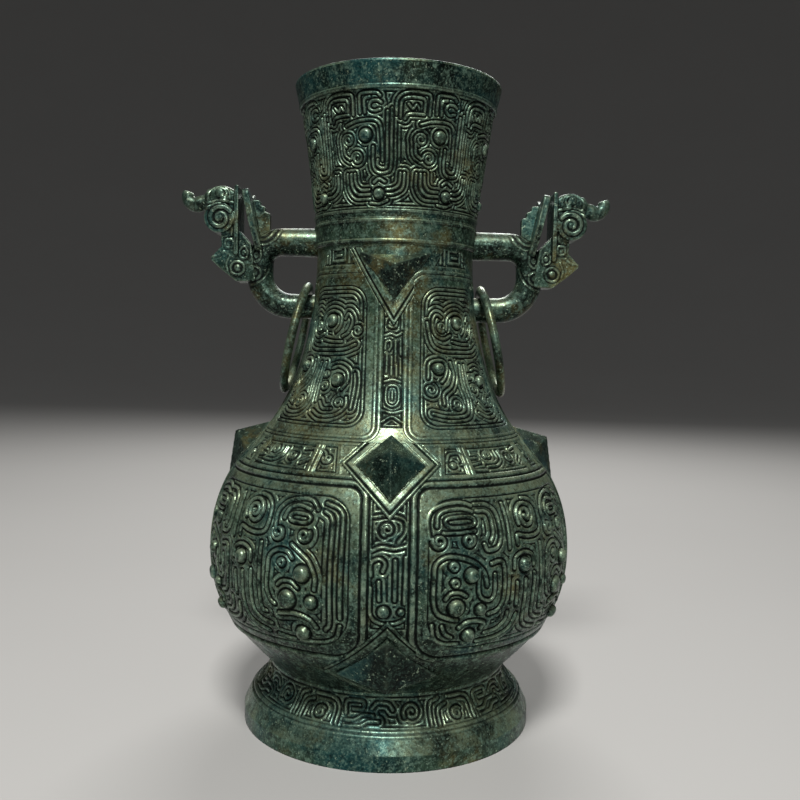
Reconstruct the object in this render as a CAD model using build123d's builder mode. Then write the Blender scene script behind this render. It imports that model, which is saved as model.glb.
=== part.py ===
"""Bronze hu vessel: a tall round wine vessel with faceted bosses, beast handles and loose drop rings.

The vessel stands on its foot at Z = 0 with its axis on Z. Its front faces -Y and its two handles
stand out along -X (left) and +X (right). All lengths are millimetres.
"""

import os
from math import asin, cos, degrees, radians, sin

from build123d import *

# Heights of the four cast sections, from the foot up
foot_height = 48.0
belly_height = 168.0
neck_height = 167.5
collar_height = 106.5

# Outside radii of the body
foot_radius = 112.0
waist_radius = 92.4
belly_radius = 139.0
shoulder_inset = 32.3  # how far the shoulder draws in from the widest ring
neck_radius = 60.6
collar_radius = 62.5
rim_radius = 74.2
lip_radius = 80.0

# Body details
belly_rise = 85.0  # height of the widest ring above the waist
wall = 5.0  # thickness of the cast wall, measured level
foot_band_height = 11.0
foot_bevel_height = 9.5
foot_bevel_inset = 4.5
foot_wall = 8.0  # width of the ring that stands on the table
floor_thickness = 5.0
floor_ledge = 7.0  # width of the ledge that carries the floor
strap_height = 18.5
strap_proud = 1.4
rim_height = 20.0
rim_proud = 1.0
lip_round = 1.6
mouth_radius = 70.0
mouth_depth = 14.0  # depth of the straight seat inside the lip

# Directions of the body outline, in degrees out from upright
waist_lean = 42.0
shoulder_lean = -43.5
foot_lean = -38.0
collar_lean = 6.5
rim_lean = 9.5

# Faceted bosses: heights stand square to the body, the rest is measured along its surface
shoulder_boss_below = 4.5  # the middle of the boss, down from the shoulder
shoulder_boss_height = 17.0
shoulder_boss_half_width = 24.0
shoulder_boss_half_length = 27.5
shoulder_boss_seat_depth = 1.0  # how far the foot of the facets lies under the skin, at the middle
neck_boss_below = 16.0  # the middle of the boss, down from the plain strap
neck_boss_height = 12.0
neck_boss_half_width = 26.0
neck_boss_top = 10.0
neck_boss_point = 36.0
neck_boss_seat_depth = 3.0
keel_boss_rise = 26.0  # the middle of the boss, up from the waist
keel_boss_height = 13.0
keel_boss_half_width = 34.0
keel_boss_top = 31.0
keel_boss_bottom = 33.0
keel_boss_drop = 10.0  # how far the apex and the side corners sit below the middle
keel_boss_seat_depth = 1.0
boss_sink = 9.0  # how far the sides run on before the body trims them
fitting_gap = 0.05  # joint line between the body and what is fitted against its outside

# Handle arms: a round bar bent into a C, thick above and thinner below
arm_upper_drop = 12.8  # from the foot of the collar down to the upper arm
arm_upper_radius = 11.2
arm_spacing = 49.7  # from the upper arm down to the lower one
arm_lower_radius = 9.4
arm_reach = 105.4  # from the axis of the vessel to the middle of the upright of the C
arm_upper_bend = 17.0
arm_lower_bend = 25.0
arm_root_depth = 12.0

# Tenons that hold the arms through the neck wall
tenon_radius = 4.5
tenon_socket_depth = 16.0
tenon_head_radius = 8.0
tenon_head_height = 4.0
tenon_clearance = 0.1

# Drop rings
ring_outer_radius = 44.5
ring_radial_width = 9.0
ring_axial_width = 6.5
ring_seat_gap = 0.55  # the arm is a little thicker here than at its end
ring_body_gap = 1.2
ring_neck_gap = 2.6

# Beast heads, placed from the middle of the upright of the arm: out and up
brow_width = 27.0
brow_corner = 5.0  # rounding of the side outline
brow_round = 3.5  # rounding over to the sides
brow_back = (15.4, 58.5)
brow_top = (31.0, 65.5)
brow_front = (42.5, 57.0)
snout_corner = (36.0, 46.0)
cheek_front = (29.0, 28.0)
cheek_back = (15.4, 28.0)
jaw_width = 22.0
jaw_round = 2.0
jaw_back = (15.4, 32.0)
neck_back = (6.0, 22.0)
jaw_front = (29.0, 32.0)
throat = (28.5, 20.0)
jaw_tip = (37.5, 10.0)
jaw_step = (30.0, 3.0)
chin_front = (17.0, -7.0)
chin_back = (2.0, -6.5)
frill_back = 15.4
frill_thickness = 3.2
frill_width = 30.0
frill_bottom = 13.0
frill_top = 66.0
frill_round = 1.2
scroll_centre = (30.0, 41.0)
scroll_radius = 11.5
scroll_width = 31.0
eye_centre = (26.0, 55.0)
eye_radius = 4.2
eye_sink = 1.2
trunk_root = (36.0, 57.5)
trunk_saddle = (49.0, 52.6)
trunk_tip = (56.6, 61.0)
trunk_root_slope = 28.0  # how steeply the trunk leaves the brow
trunk_root_radius = 6.2
trunk_tip_radius = 3.2

# Ear plates that stand on the bend behind the heads, measured along the plate from the level of the bend
plate_reach = -1.4  # where its front would meet that level, out from the upright of the arm
plate_lean = 12.5
plate_thickness = 5.0
plate_bottom = 17.0
plate_shoulder = 40.0
plate_top = 66.0
plate_foot_half_width = 13.0
plate_half_width = 21.0
plate_notch = 7.0
plate_corner = 5.0

# Stepped crests on top of the arms
crest_width = 9.0
crest_back = -7.5
crest_front = 12.0
crest_first_step = 11.0
crest_second_step = 16.0
crest_third_step = 20.5
crest_step_length = 3.8
crest_root = 20.0
crest_corner = 1.8

# Raised ornament: the main lines and knobs, by azimuth from an upright strap and drop from the top of the section
ornament_root = 2.0  # how far it runs into the wall
line_proud = 0.8
neck_line_proud = 0.5
knob_limit = 6.0  # no knob stands further out than this
panel_count = 4
belly_frame_width = 3.0
belly_frame_side = 14.2  # from the middle of a strap to the frame
belly_frame_drop = 15.0
belly_frame_rise = 31.5  # from the waist up to the frame
belly_frame_corners = (13.0, 24.0)
belly_rib_width = 3.2
belly_ribs = (
    ((12.4, 75.5), (12.9, 66.5), (16.0, 61.8), (20.0, 62.6), (24.4, 66.5), (27.4, 73.5), (28.4, 82.5)),
    ((53.8, 77.5), (54.2, 67.5), (58.0, 62.0), (64.0, 62.0), (67.6, 67.9), (69.5, 77.5), (69.4, 85.5)),
    ((71.0, 29.6), (75.0, 33.0), (76.8, 42.0), (77.0, 56.0), (76.6, 70.0)),
    ((12.3, 107.2), (13.3, 116.7), (16.4, 121.6), (21.0, 122.7)),
)
# Knobs: azimuth, drop, radius of the foot and height
belly_knobs = (
    (23.3, 74.5, 5.4, 3.8),
    (19.0, 95.9, 6.4, 2.6),
    (26.6, 98.5, 4.4, 2.6),
    (23.8, 116.1, 5.2, 3.4),
    (42.4, 72.1, 5.6, 3.2),
    (65.6, 75.9, 6.2, 4.0),
    (60.8, 94.5, 7.2, 2.8),
    (68.4, 94.5, 4.8, 2.8),
    (65.0, 117.1, 5.6, 3.6),
)
# Coils, cast as plain rings: azimuth, drop and radius
belly_coil_bar = 1.5
belly_coils = ((14.0, 51.8, 4.6), (22.9, 51.8, 4.2), (45.4, 39.9, 8.5), (56.6, 51.2, 4.6), (65.4, 51.0, 4.2))
neck_frame_width = 2.5
neck_frame_side = 11.0
neck_frame_drop = 24.5
neck_frame_rise = 10.0  # from the shoulder up to the frame
neck_frame_corners = (11.4, 8.4)
neck_knobs = ((45.6, 57.7, 5.2, 2.2), (58.4, 100.6, 5.2, 2.2))
collar_unit_count = 8
collar_rib_width = 2.6
collar_ribs = (
    ((30.2, 41.1), (30.2, 54.0), (33.0, 58.3), (38.0, 58.5), (41.2, 55.0), (41.4, 35.1), (41.6, 15.3)),
    ((18.4, 18.7), (18.4, 8.0), (15.6, 4.8), (6.0, 4.8), (1.4, 9.4), (0.6, 19.3)),
    ((12.2, 58.9), (12.4, 69.4), (17.4, 75.6), (27.8, 76.4)),
)
collar_knobs = ((25.7, 32.7, 5.0, 2.4), (33.6, 73.1, 4.1, 2.2))

os.makedirs("parts", exist_ok=True)

# Levels and points that follow from the sizes
waist_level = foot_height
shoulder_level = waist_level + belly_height
collar_level = shoulder_level + neck_height
lip_level = collar_level + collar_height
belly_level = waist_level + belly_rise
strap_level = collar_level - strap_height
rim_level = lip_level - rim_height
bevel_level = foot_band_height + foot_bevel_height
shoulder_boss_level = shoulder_level - shoulder_boss_below
neck_boss_level = strap_level - neck_boss_below
keel_boss_level = waist_level + keel_boss_rise
arm_upper_level = collar_level - arm_upper_drop
arm_lower_level = arm_upper_level - arm_spacing
shoulder_radius = belly_radius - shoulder_inset
bevel_radius = foot_radius - foot_bevel_inset
strap_radius = neck_radius + strap_proud
bend_level = (arm_upper_level + arm_lower_level) / 2


def leaning(angle):
    """Direction in the outline plane that leans out from upright by an angle in degrees."""
    return (sin(radians(angle)), cos(radians(angle)))


def foot_curve(inset):
    """Flare of the foot from its bevel up to the waist, drawn inward by inset."""
    return Spline(
        (bevel_radius - inset, bevel_level),
        (waist_radius - inset, waist_level),
        tangents=(leaning(foot_lean), leaning(0)),
    )


def belly_curve(inset):
    """Outline of the belly from the waist to the shoulder, drawn inward by inset."""
    lower = Spline(
        (waist_radius - inset, waist_level),
        (belly_radius - inset, belly_level),
        tangents=(leaning(waist_lean), leaning(0)),
    )
    upper = Spline(
        (belly_radius - inset, belly_level),
        (shoulder_radius - inset, shoulder_level),
        tangents=(leaning(0), leaning(shoulder_lean)),
    )
    return lower, upper


def neck_curve(inset):
    """Hollow sweep of the neck from the shoulder to the strap, drawn inward by inset."""
    return Spline(
        (shoulder_radius - inset, shoulder_level),
        (neck_radius - inset, strap_level),
        tangents=(leaning(shoulder_lean), leaning(0)),
    )


def collar_curve(inset, top_level):
    """Flare of the mouth collar from the strap up to a level, drawn inward by inset."""
    return Spline(
        (collar_radius - inset, collar_level),
        (rim_radius - inset, top_level),
        tangents=(leaning(collar_lean), leaning(rim_lean)),
    )


# Outside skin of the curved sections, used to find where fittings touch it
with BuildLine(Plane.XZ) as skin:
    foot_curve(0)
    belly_curve(0)
    neck_curve(0)
    collar_curve(0, rim_level)


def skin_at(level):
    """Radius of the outside skin at a level, and how far its normal tilts up in degrees."""
    edge = next(e for e in skin.edges() if e.bounding_box().min.Z <= level <= e.bounding_box().max.Z)
    rising = (edge @ 1).Z > (edge @ 0).Z
    low, high = 0.0, 1.0
    for _ in range(40):
        middle = (low + high) / 2
        if ((edge @ middle).Z < level) == rising:
            low = middle
        else:
            high = middle
    tangent = (edge % low) * (1 if rising else -1)
    return (edge @ low).X, degrees(asin(-tangent.X))


def root_radius(level):
    """Radius of the neck where a handle arm meets it, on the strap or on the bare skin."""
    return strap_radius if level > strap_level else skin_at(level)[0]


def outward(azimuth):
    """Level direction pointing out from the axis; 0 is the front and 90 the right."""
    return Vector(sin(radians(azimuth)), -cos(radians(azimuth)), 0)


def skin_frame(azimuth, level):
    """Plane that lies on the skin, with X level to the right, Y up the skin and Z straight out."""
    radius, tilt = skin_at(level)
    out = outward(azimuth)
    normal = out * cos(radians(tilt)) + Vector(0, 0, 1) * sin(radians(tilt))
    return Plane(origin=out * radius + Vector(0, 0, level), x_dir=outward(azimuth + 90), z_dir=normal)


def add_boss(frame, corners, seat, apex):
    """Add a faceted boss on a skin frame: facets from the corners to the apex, over straight sides."""
    with BuildSketch(frame.offset(-seat), mode=Mode.PRIVATE) as base:
        Polygon(*corners, align=None)
    loft(sections=[base.sketch, Vertex(frame.from_local_coords(Vector(*apex)))], ruled=True)
    extrude(base.sketch, amount=-boss_sink)


def facing(azimuth):
    """Upright plane through the axis that faces an azimuth, with X level to the right and Y up."""
    return Plane(origin=(0, 0, 0), x_dir=outward(azimuth + 90), z_dir=outward(azimuth))


def drawn(middle, azimuth, level):
    """Place of a point of the skin in a drawing on the plane that faces the middle azimuth."""
    return (skin_at(level)[0] * sin(radians(azimuth - middle)), level)


def ornament_layer(draw, ends, proud):
    """Thin layer along the skin that raised ornament is cut from.

    draw adds the outline of the section at an inset, and ends gives the radius and level of its two ends.
    """
    with BuildPart(mode=Mode.PRIVATE) as layer:
        with BuildSketch(Plane.XZ):
            with BuildLine():
                draw(-proud)
                draw(ornament_root)
                for radius, level in ends:
                    Line((radius - ornament_root, level), (radius + proud, level))
            make_face()
        revolve(axis=Axis.Z)
    return layer.part


def add_frame(layer, side, top, bottom, width, corners):
    """Add the raised frame of the panel between two upright straps.

    side is the distance from the middle of a strap, and corners gives the upper and lower rounding.
    """
    middle = 180 / panel_count
    right = [
        drawn(0, middle - degrees(side / skin_at(level)[0]), level)
        for level in (bottom, (bottom + top) / 2, top)
    ]
    left = [(-across, level) for across, level in right]
    with BuildPart(mode=Mode.PRIVATE) as frame:
        with BuildSketch(facing(middle)) as outline:
            with BuildLine():
                ThreePointArc(*right)
                ThreePointArc(*left)
                Line(right[0], left[0])
                Line(right[-1], left[-1])
            make_face()
            fillet(outline.vertices().sort_by(Axis.Y)[-2:], radius=corners[0])
            fillet(outline.vertices().sort_by(Axis.Y)[:2], radius=corners[1])
            offset(amount=-width, mode=Mode.SUBTRACT)
        extrude(amount=2 * belly_radius)
        add(layer, mode=Mode.INTERSECT)
    add(frame.part)


def add_rib(layer, points, top, width):
    """Add a raised line that flows through points given by azimuth and drop from the top."""
    middle = (points[0][0] + points[-1][0]) / 2
    with BuildPart(mode=Mode.PRIVATE) as rib:
        with BuildSketch(facing(middle)):
            with BuildLine():
                Spline(*[drawn(middle, azimuth, top - drop) for azimuth, drop in points])
            trace(line_width=width)
        extrude(amount=2 * belly_radius)
        add(layer, mode=Mode.INTERSECT)
    add(rib.part)


def add_knobs(layer, knobs, top):
    """Add low round knobs, each given by azimuth, drop from the top, radius of its foot and height."""
    with BuildPart(mode=Mode.PRIVATE) as domes:
        for azimuth, drop, radius, height in knobs:
            ball = (radius**2 + height**2) / (2 * height)
            with Locations(skin_frame(azimuth, top - drop).offset(height - ball)):
                Sphere(ball)
        add(layer, mode=Mode.INTERSECT)
    add(domes.part)


def from_bend(point):
    """Outline point given out and up from the middle of the upright of the handle arm."""
    return (arm_reach + point[0], bend_level + point[1])


def finish(builder, name):
    """Label a finished piece and write it out under its name."""
    builder.part.label = name
    export_step(builder.part, f"parts/{name}.step")


def finish_pair(right_builder, name):
    """Write a right-hand piece and its mirror image on the left."""
    finish(right_builder, f"{name}_right")
    with BuildPart() as left_builder:
        mirror(right_builder.part, about=Plane.YZ)
    finish(left_builder, f"{name}_left")


# The whole body as one filled form, used to trim what is fitted against its outside
with BuildPart() as body_form:
    with BuildSketch(Plane.XZ):
        with BuildLine():
            Polyline(
                (0, 0),
                (foot_radius, 0),
                (foot_radius, foot_band_height),
                (bevel_radius + fitting_gap, bevel_level),
            )
            foot_curve(-fitting_gap)
            belly_curve(-fitting_gap)
            neck_curve(-fitting_gap)
            Polyline(
                (neck_radius + fitting_gap, strap_level),
                (strap_radius + fitting_gap, strap_level),
                (collar_radius + fitting_gap, collar_level),
                (0, collar_level),
                (0, 0),
            )
        make_face()
    revolve(axis=Axis.Z)

# Foot ring: band, bevel and flare outside, hollow under, with a ledge that carries the floor
with BuildPart() as foot_ring:
    with BuildSketch(Plane.XZ):
        with BuildLine():
            Polyline(
                (foot_radius - foot_wall, 0),
                (foot_radius, 0),
                (foot_radius, foot_band_height),
                (bevel_radius, bevel_level),
            )
            foot_curve(0)
            Polyline(
                (waist_radius, waist_level),
                (waist_radius - wall - floor_ledge, waist_level),
                (waist_radius - wall - floor_ledge, waist_level - floor_thickness),
                (waist_radius - wall, waist_level - floor_thickness),
                (bevel_radius - wall, bevel_level),
                (foot_radius - foot_wall, foot_band_height),
                (foot_radius - foot_wall, 0),
            )
        make_face()
    revolve(axis=Axis.Z)
finish(foot_ring, "foot_ring")

# Floor plate: a disc that drops into the belly and rests on the ledge of the foot
with BuildPart() as floor_plate:
    with BuildSketch(Plane.XY.offset(waist_level)):
        Circle(waist_radius - wall)
    extrude(amount=floor_thickness)
finish(floor_plate, "floor_plate")

# Raised ornament of one belly panel
belly_ends = ((waist_radius, waist_level), (shoulder_radius, shoulder_level))
belly_layer = ornament_layer(belly_curve, belly_ends, line_proud)
with BuildPart() as belly_ornament:
    add_frame(
        belly_layer,
        belly_frame_side,
        shoulder_level - belly_frame_drop,
        waist_level + belly_frame_rise,
        belly_frame_width,
        belly_frame_corners,
    )
    for points in belly_ribs:
        add_rib(belly_layer, points, shoulder_level, belly_rib_width)
    for azimuth, drop, radius in belly_coils:
        with Locations(skin_frame(azimuth, shoulder_level - drop)):
            Torus(radius, belly_coil_bar)
    add_knobs(ornament_layer(belly_curve, belly_ends, knob_limit), belly_knobs, shoulder_level)

# Belly shell
with BuildPart() as belly_shell:
    with BuildSketch(Plane.XZ):
        with BuildLine():
            belly_curve(0)
            belly_curve(wall)
            Line((waist_radius - wall, waist_level), (waist_radius, waist_level))
            Line((shoulder_radius - wall, shoulder_level), (shoulder_radius, shoulder_level))
        make_face()
    revolve(axis=Axis.Z)
    with PolarLocations(0, panel_count):
        add(belly_ornament.part)
finish(belly_shell, "belly_shell")

# Raised ornament of one neck panel
neck_ends = ((shoulder_radius, shoulder_level), (neck_radius, strap_level))
with BuildPart() as neck_ornament:
    add_frame(
        ornament_layer(neck_curve, neck_ends, neck_line_proud),
        neck_frame_side,
        strap_level - neck_frame_drop,
        shoulder_level + neck_frame_rise,
        neck_frame_width,
        neck_frame_corners,
    )
    add_knobs(ornament_layer(neck_curve, neck_ends, knob_limit), neck_knobs, strap_level)

# Neck shell with the plain strap at its top and four holes for the handle tenons
with BuildPart() as neck_shell:
    with BuildSketch(Plane.XZ):
        with BuildLine():
            neck_curve(0)
            neck_curve(wall)
            Line((shoulder_radius - wall, shoulder_level), (shoulder_radius, shoulder_level))
            Polyline(
                (neck_radius, strap_level),
                (strap_radius, strap_level),
                (collar_radius, collar_level),
                (collar_radius - wall, collar_level),
                (neck_radius - wall, strap_level),
            )
        make_face()
    revolve(axis=Axis.Z)
    with PolarLocations(0, panel_count):
        add(neck_ornament.part)
    with BuildSketch(Plane.YZ):
        with Locations((0, arm_upper_level), (0, arm_lower_level)):
            Circle(tenon_radius + tenon_clearance)
    extrude(amount=shoulder_radius, both=True, mode=Mode.SUBTRACT)
finish(neck_shell, "neck_shell")


def collar_outline(inset):
    """Outside of the mouth collar up to its rim band, drawn inward by inset."""
    return collar_curve(inset, rim_level)


# Raised ornament of one collar unit
collar_ends = ((collar_radius, collar_level), (rim_radius, rim_level))
collar_layer = ornament_layer(collar_outline, collar_ends, line_proud)
with BuildPart() as collar_ornament:
    for points in collar_ribs:
        add_rib(collar_layer, points, rim_level, collar_rib_width)
    add_knobs(ornament_layer(collar_outline, collar_ends, knob_limit), collar_knobs, rim_level)

# Mouth collar with its plain rim band and a straight seat inside the lip
with BuildPart() as mouth_collar:
    with BuildSketch(Plane.XZ):
        with BuildLine():
            collar_curve(0, rim_level)
            Polyline(
                (rim_radius, rim_level),
                (rim_radius + rim_proud, rim_level),
                (lip_radius, lip_level),
                (mouth_radius, lip_level),
                (mouth_radius, lip_level - mouth_depth),
                (rim_radius - wall, rim_level - rim_proud),
            )
            collar_curve(wall, rim_level - rim_proud)
            Line((collar_radius - wall, collar_level), (collar_radius, collar_level))
        make_face()
    revolve(axis=Axis.Z)
    fillet(mouth_collar.faces().sort_by(Axis.Z)[-1].outer_wire().edges(), radius=lip_round)
    with PolarLocations(0, collar_unit_count):
        add(collar_ornament.part)
finish(mouth_collar, "mouth_collar")

# Shoulder bosses: a faceted diamond wherever an upright strap crosses the shoulder strap
shoulder_corners = [
    (0, shoulder_boss_half_length),
    (-shoulder_boss_half_width, 0),
    (0, -shoulder_boss_half_length),
    (shoulder_boss_half_width, 0),
]
for side, azimuth in (("front", 0), ("right", 90), ("back", 180), ("left", 270)):
    with BuildPart() as shoulder_boss:
        add_boss(
            skin_frame(azimuth, shoulder_boss_level),
            shoulder_corners,
            shoulder_boss_seat_depth,
            (0, 0, shoulder_boss_height),
        )
        add(body_form.part, mode=Mode.SUBTRACT)
    finish(shoulder_boss, f"shoulder_boss_{side}")

# Neck bosses: half diamonds that hang point down under the plain strap
neck_corners = [
    (-neck_boss_half_width, neck_boss_top),
    (0, -neck_boss_point),
    (neck_boss_half_width, neck_boss_top),
]
# Keel bosses: faceted points under the belly straps
keel_corners = [
    (0, keel_boss_top),
    (-keel_boss_half_width, -keel_boss_drop),
    (0, -keel_boss_bottom),
    (keel_boss_half_width, -keel_boss_drop),
]
for side, azimuth in (("front", 0), ("back", 180)):
    with BuildPart() as neck_boss:
        add_boss(
            skin_frame(azimuth, neck_boss_level),
            neck_corners,
            neck_boss_seat_depth,
            (0, 0, neck_boss_height),
        )
        add(body_form.part, mode=Mode.SUBTRACT)
    finish(neck_boss, f"neck_boss_{side}")
    with BuildPart() as keel_boss:
        add_boss(
            skin_frame(azimuth, keel_boss_level),
            keel_corners,
            keel_boss_seat_depth,
            (0, -keel_boss_drop, keel_boss_height),
        )
        add(body_form.part, mode=Mode.SUBTRACT)
    finish(keel_boss, f"keel_boss_{side}")

# Handle tenons: pins from the arms through the neck wall, with a round head inside
for place, level in (("upper", arm_upper_level), ("lower", arm_lower_level)):
    with BuildPart() as tenon:
        with BuildSketch(Plane.YZ.offset(root_radius(level) - wall)):
            with Locations((0, level)):
                Circle(tenon_radius)
        extrude(amount=wall + tenon_socket_depth)
        with BuildSketch(Plane.YZ.offset(root_radius(level) - wall - tenon_head_height)):
            with Locations((0, level)):
                Circle(tenon_head_radius)
        extrude(amount=tenon_head_height + wall / 2)
        add(neck_shell.part, mode=Mode.SUBTRACT)
    finish_pair(tenon, f"handle_tenon_{place}")

# Handle arm: a tapering round bar bent into a C, trimmed to the neck and bored for its tenons
arm_root = neck_radius - arm_root_depth
with BuildPart() as handle_arm:
    with BuildLine(Plane.XZ) as arm_path:
        FilletPolyline(
            (arm_root, arm_upper_level),
            (arm_reach, arm_upper_level),
            (arm_reach, arm_lower_level),
            (arm_root, arm_lower_level),
            radius=[arm_upper_bend, arm_lower_bend],
        )
    with BuildSketch(Plane(origin=(arm_root, 0, arm_upper_level), z_dir=(1, 0, 0))):
        Circle(arm_upper_radius)
    with BuildSketch(Plane(origin=(arm_root, 0, arm_lower_level), z_dir=(-1, 0, 0))):
        Circle(arm_lower_radius)
    sweep(path=arm_path.line, multisection=True)
    add(body_form.part, mode=Mode.SUBTRACT)
    for level in (arm_upper_level, arm_lower_level):
        with BuildSketch(Plane.YZ):
            with Locations((0, level)):
                Circle(tenon_radius + tenon_clearance)
        extrude(amount=root_radius(level) + tenon_socket_depth + tenon_clearance, mode=Mode.SUBTRACT)
finish_pair(handle_arm, "handle_arm")

# Ear plate: a leaning plate behind the head, notched between two ear tips, that straddles the arm
plate_front = Plane(
    origin=(arm_reach + plate_reach, 0, bend_level),
    x_dir=(0, 1, 0),
    z_dir=(cos(radians(plate_lean)), 0, -sin(radians(plate_lean))),
)
with BuildPart() as ear_plate:
    with BuildSketch(plate_front) as plate_outline:
        Polygon(
            (-plate_foot_half_width, plate_bottom),
            (plate_foot_half_width, plate_bottom),
            (plate_half_width, plate_shoulder),
            (plate_half_width, plate_top),
            (0, plate_top - plate_notch),
            (-plate_half_width, plate_top),
            (-plate_half_width, plate_shoulder),
            align=None,
        )
        fillet(plate_outline.vertices(), radius=plate_corner)
    extrude(amount=-plate_thickness)
    add(handle_arm.part, mode=Mode.SUBTRACT)
finish_pair(ear_plate, "ear_plate")

# Beast head: brow, jaw, frill, cheek scrolls, eyes and upturned trunk, seated on the bend of the arm
with BuildPart() as beast_head:
    with BuildSketch(Plane.XZ.offset(-brow_width / 2)) as brow_outline:
        with BuildLine():
            brow = ThreePointArc(from_bend(brow_back), from_bend(brow_top), from_bend(brow_front))
            Polyline(
                brow @ 1, from_bend(snout_corner), from_bend(cheek_front), from_bend(cheek_back), brow @ 0
            )
        make_face()
        fillet(brow_outline.vertices(), radius=brow_corner)
    extrude(amount=brow_width)
    fillet(beast_head.faces().filter_by(Axis.Y).edges(), radius=brow_round)
    with BuildSketch(Plane.XZ.offset(-jaw_width / 2)) as jaw_outline:
        jaw_points = (jaw_back, jaw_front, throat, jaw_tip, jaw_step, chin_front, chin_back, neck_back)
        Polygon(*[from_bend(point) for point in jaw_points], align=None)
        fillet(jaw_outline.vertices(), radius=jaw_round)
    extrude(amount=jaw_width)
    frill_middle = arm_reach + frill_back + frill_thickness / 2
    with BuildSketch(Plane.XZ.offset(-frill_width / 2)):
        with Locations((frill_middle, bend_level + (frill_bottom + frill_top) / 2)):
            RectangleRounded(frill_thickness, frill_top - frill_bottom, frill_round)
    extrude(amount=frill_width)
    with BuildSketch(Plane.XZ.offset(-scroll_width / 2)):
        with Locations(from_bend(scroll_centre)):
            Circle(scroll_radius)
    extrude(amount=scroll_width)
    eye_reach, eye_level = from_bend(eye_centre)
    eye_side = brow_width / 2 - eye_sink
    with Locations((eye_reach, -eye_side, eye_level), (eye_reach, eye_side, eye_level)):
        Sphere(eye_radius)
    with BuildLine(Plane.XZ) as trunk_path:
        trunk_fall = TangentArc(
            from_bend(trunk_root), from_bend(trunk_saddle), tangent=leaning(90 + trunk_root_slope)
        )
        TangentArc(trunk_fall @ 1, from_bend(trunk_tip), tangent=trunk_fall % 1)
    with BuildSketch(Plane(origin=trunk_path.line @ 0, z_dir=trunk_path.line % 0)):
        Circle(trunk_root_radius)
    with BuildSketch(Plane(origin=trunk_path.line @ 1, z_dir=trunk_path.line % 1)):
        Circle(trunk_tip_radius)
    sweep(path=trunk_path.line, multisection=True)
    add(handle_arm.part, mode=Mode.SUBTRACT)
finish_pair(beast_head, "beast_head")

# Crest: a stepped fin that stands on the arm behind the plate
arm_top = arm_upper_level + arm_upper_radius
with BuildPart() as beast_crest:
    with BuildSketch(Plane.XZ.offset(-crest_width / 2)) as crest_outline:
        crest_start = arm_reach + crest_back
        crest_end = arm_reach + crest_front
        Polygon(
            (crest_start, arm_top - crest_root),
            (crest_end, arm_top - crest_root),
            (crest_end, arm_top + crest_third_step),
            (crest_start + 2 * crest_step_length, arm_top + crest_third_step),
            (crest_start + 2 * crest_step_length, arm_top + crest_second_step),
            (crest_start + crest_step_length, arm_top + crest_second_step),
            (crest_start + crest_step_length, arm_top + crest_first_step),
            (crest_start, arm_top + crest_first_step),
            align=None,
        )
        fillet(crest_outline.vertices(), radius=crest_corner)
    extrude(amount=crest_width)
    split(bisect_by=plate_front.offset(-plate_thickness), keep=Keep.BOTTOM)
    add(handle_arm.part, mode=Mode.SUBTRACT)
finish_pair(beast_crest, "beast_crest")

# Drop ring: hangs on the lower arm and leans on the body; its tilt follows from what it touches
ring_centre_radius = ring_outer_radius - ring_radial_width / 2
ring_hang = arm_lower_level + arm_lower_radius + ring_seat_gap + ring_radial_width / 2
ring_reach = skin_at(ring_hang)[0] + ring_neck_gap + ring_axial_width / 2


def ring_point(tilt, turn):
    """Middle of the ring's bar at a turn from its top, as distance from the axis and level."""
    drop = ring_centre_radius * (1 - cos(radians(turn)))
    side = ring_centre_radius * sin(radians(turn))
    reach = ring_reach + drop * sin(radians(tilt))
    return (reach**2 + side**2) ** 0.5, ring_hang - drop * cos(radians(tilt))


def ring_is_clear(tilt):
    """Whether the ring at this tilt keeps its gap to the body all the way round."""
    for turn in range(0, 181, 10):
        reach, level = ring_point(tilt, turn)
        radius, lean = skin_at(level)
        if (reach - radius) * cos(radians(lean)) < ring_axial_width / 2 + ring_body_gap:
            return False
    return True


def hanging_tilt():
    """Least tilt, in degrees, at which the ring hangs clear of the body."""
    touching, clear = 0.0, 80.0
    if ring_is_clear(touching):
        return touching
    for _ in range(20):
        middle = (touching + clear) / 2
        if ring_is_clear(middle):
            clear = middle
        else:
            touching = middle
    return clear


ring_tilt = hanging_tilt()
ring_plane = Plane(
    origin=(ring_reach, 0, ring_hang),
    x_dir=(sin(radians(ring_tilt)), 0, -cos(radians(ring_tilt))),
    z_dir=(0, -1, 0),
)
ring_axis = Axis(
    ring_plane.from_local_coords(Vector(ring_centre_radius, 0, 0)),
    ring_plane.y_dir,
)
with BuildPart() as drop_ring:
    with BuildSketch(ring_plane):
        Ellipse(ring_radial_width / 2, ring_axial_width / 2)
    revolve(axis=ring_axis)
finish_pair(drop_ring, "drop_ring")
print(f"ring pivot x {ring_reach:.3f} z {ring_hang:.3f} tilt {ring_tilt:.2f}")
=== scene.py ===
"""Looks of a bronze hu vessel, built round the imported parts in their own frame.

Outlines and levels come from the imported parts, and the places of frames, straps and roots repeat the sizes
that the parts were made with. The classes below rebuild the skin of each part with its cast relief, dress it
in patinated bronze and set the vessel in a plain studio. Drawings of the relief are given in degrees round
the vessel and millimetres down its outline; the front faces -Y.
"""

import logging
import math
from collections.abc import Iterator, Sequence
from dataclasses import dataclass, field
from enum import Enum

import bpy
import numpy as np
from mathutils import Euler, Matrix, Vector
from mathutils.bvhtree import BVHTree


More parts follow.
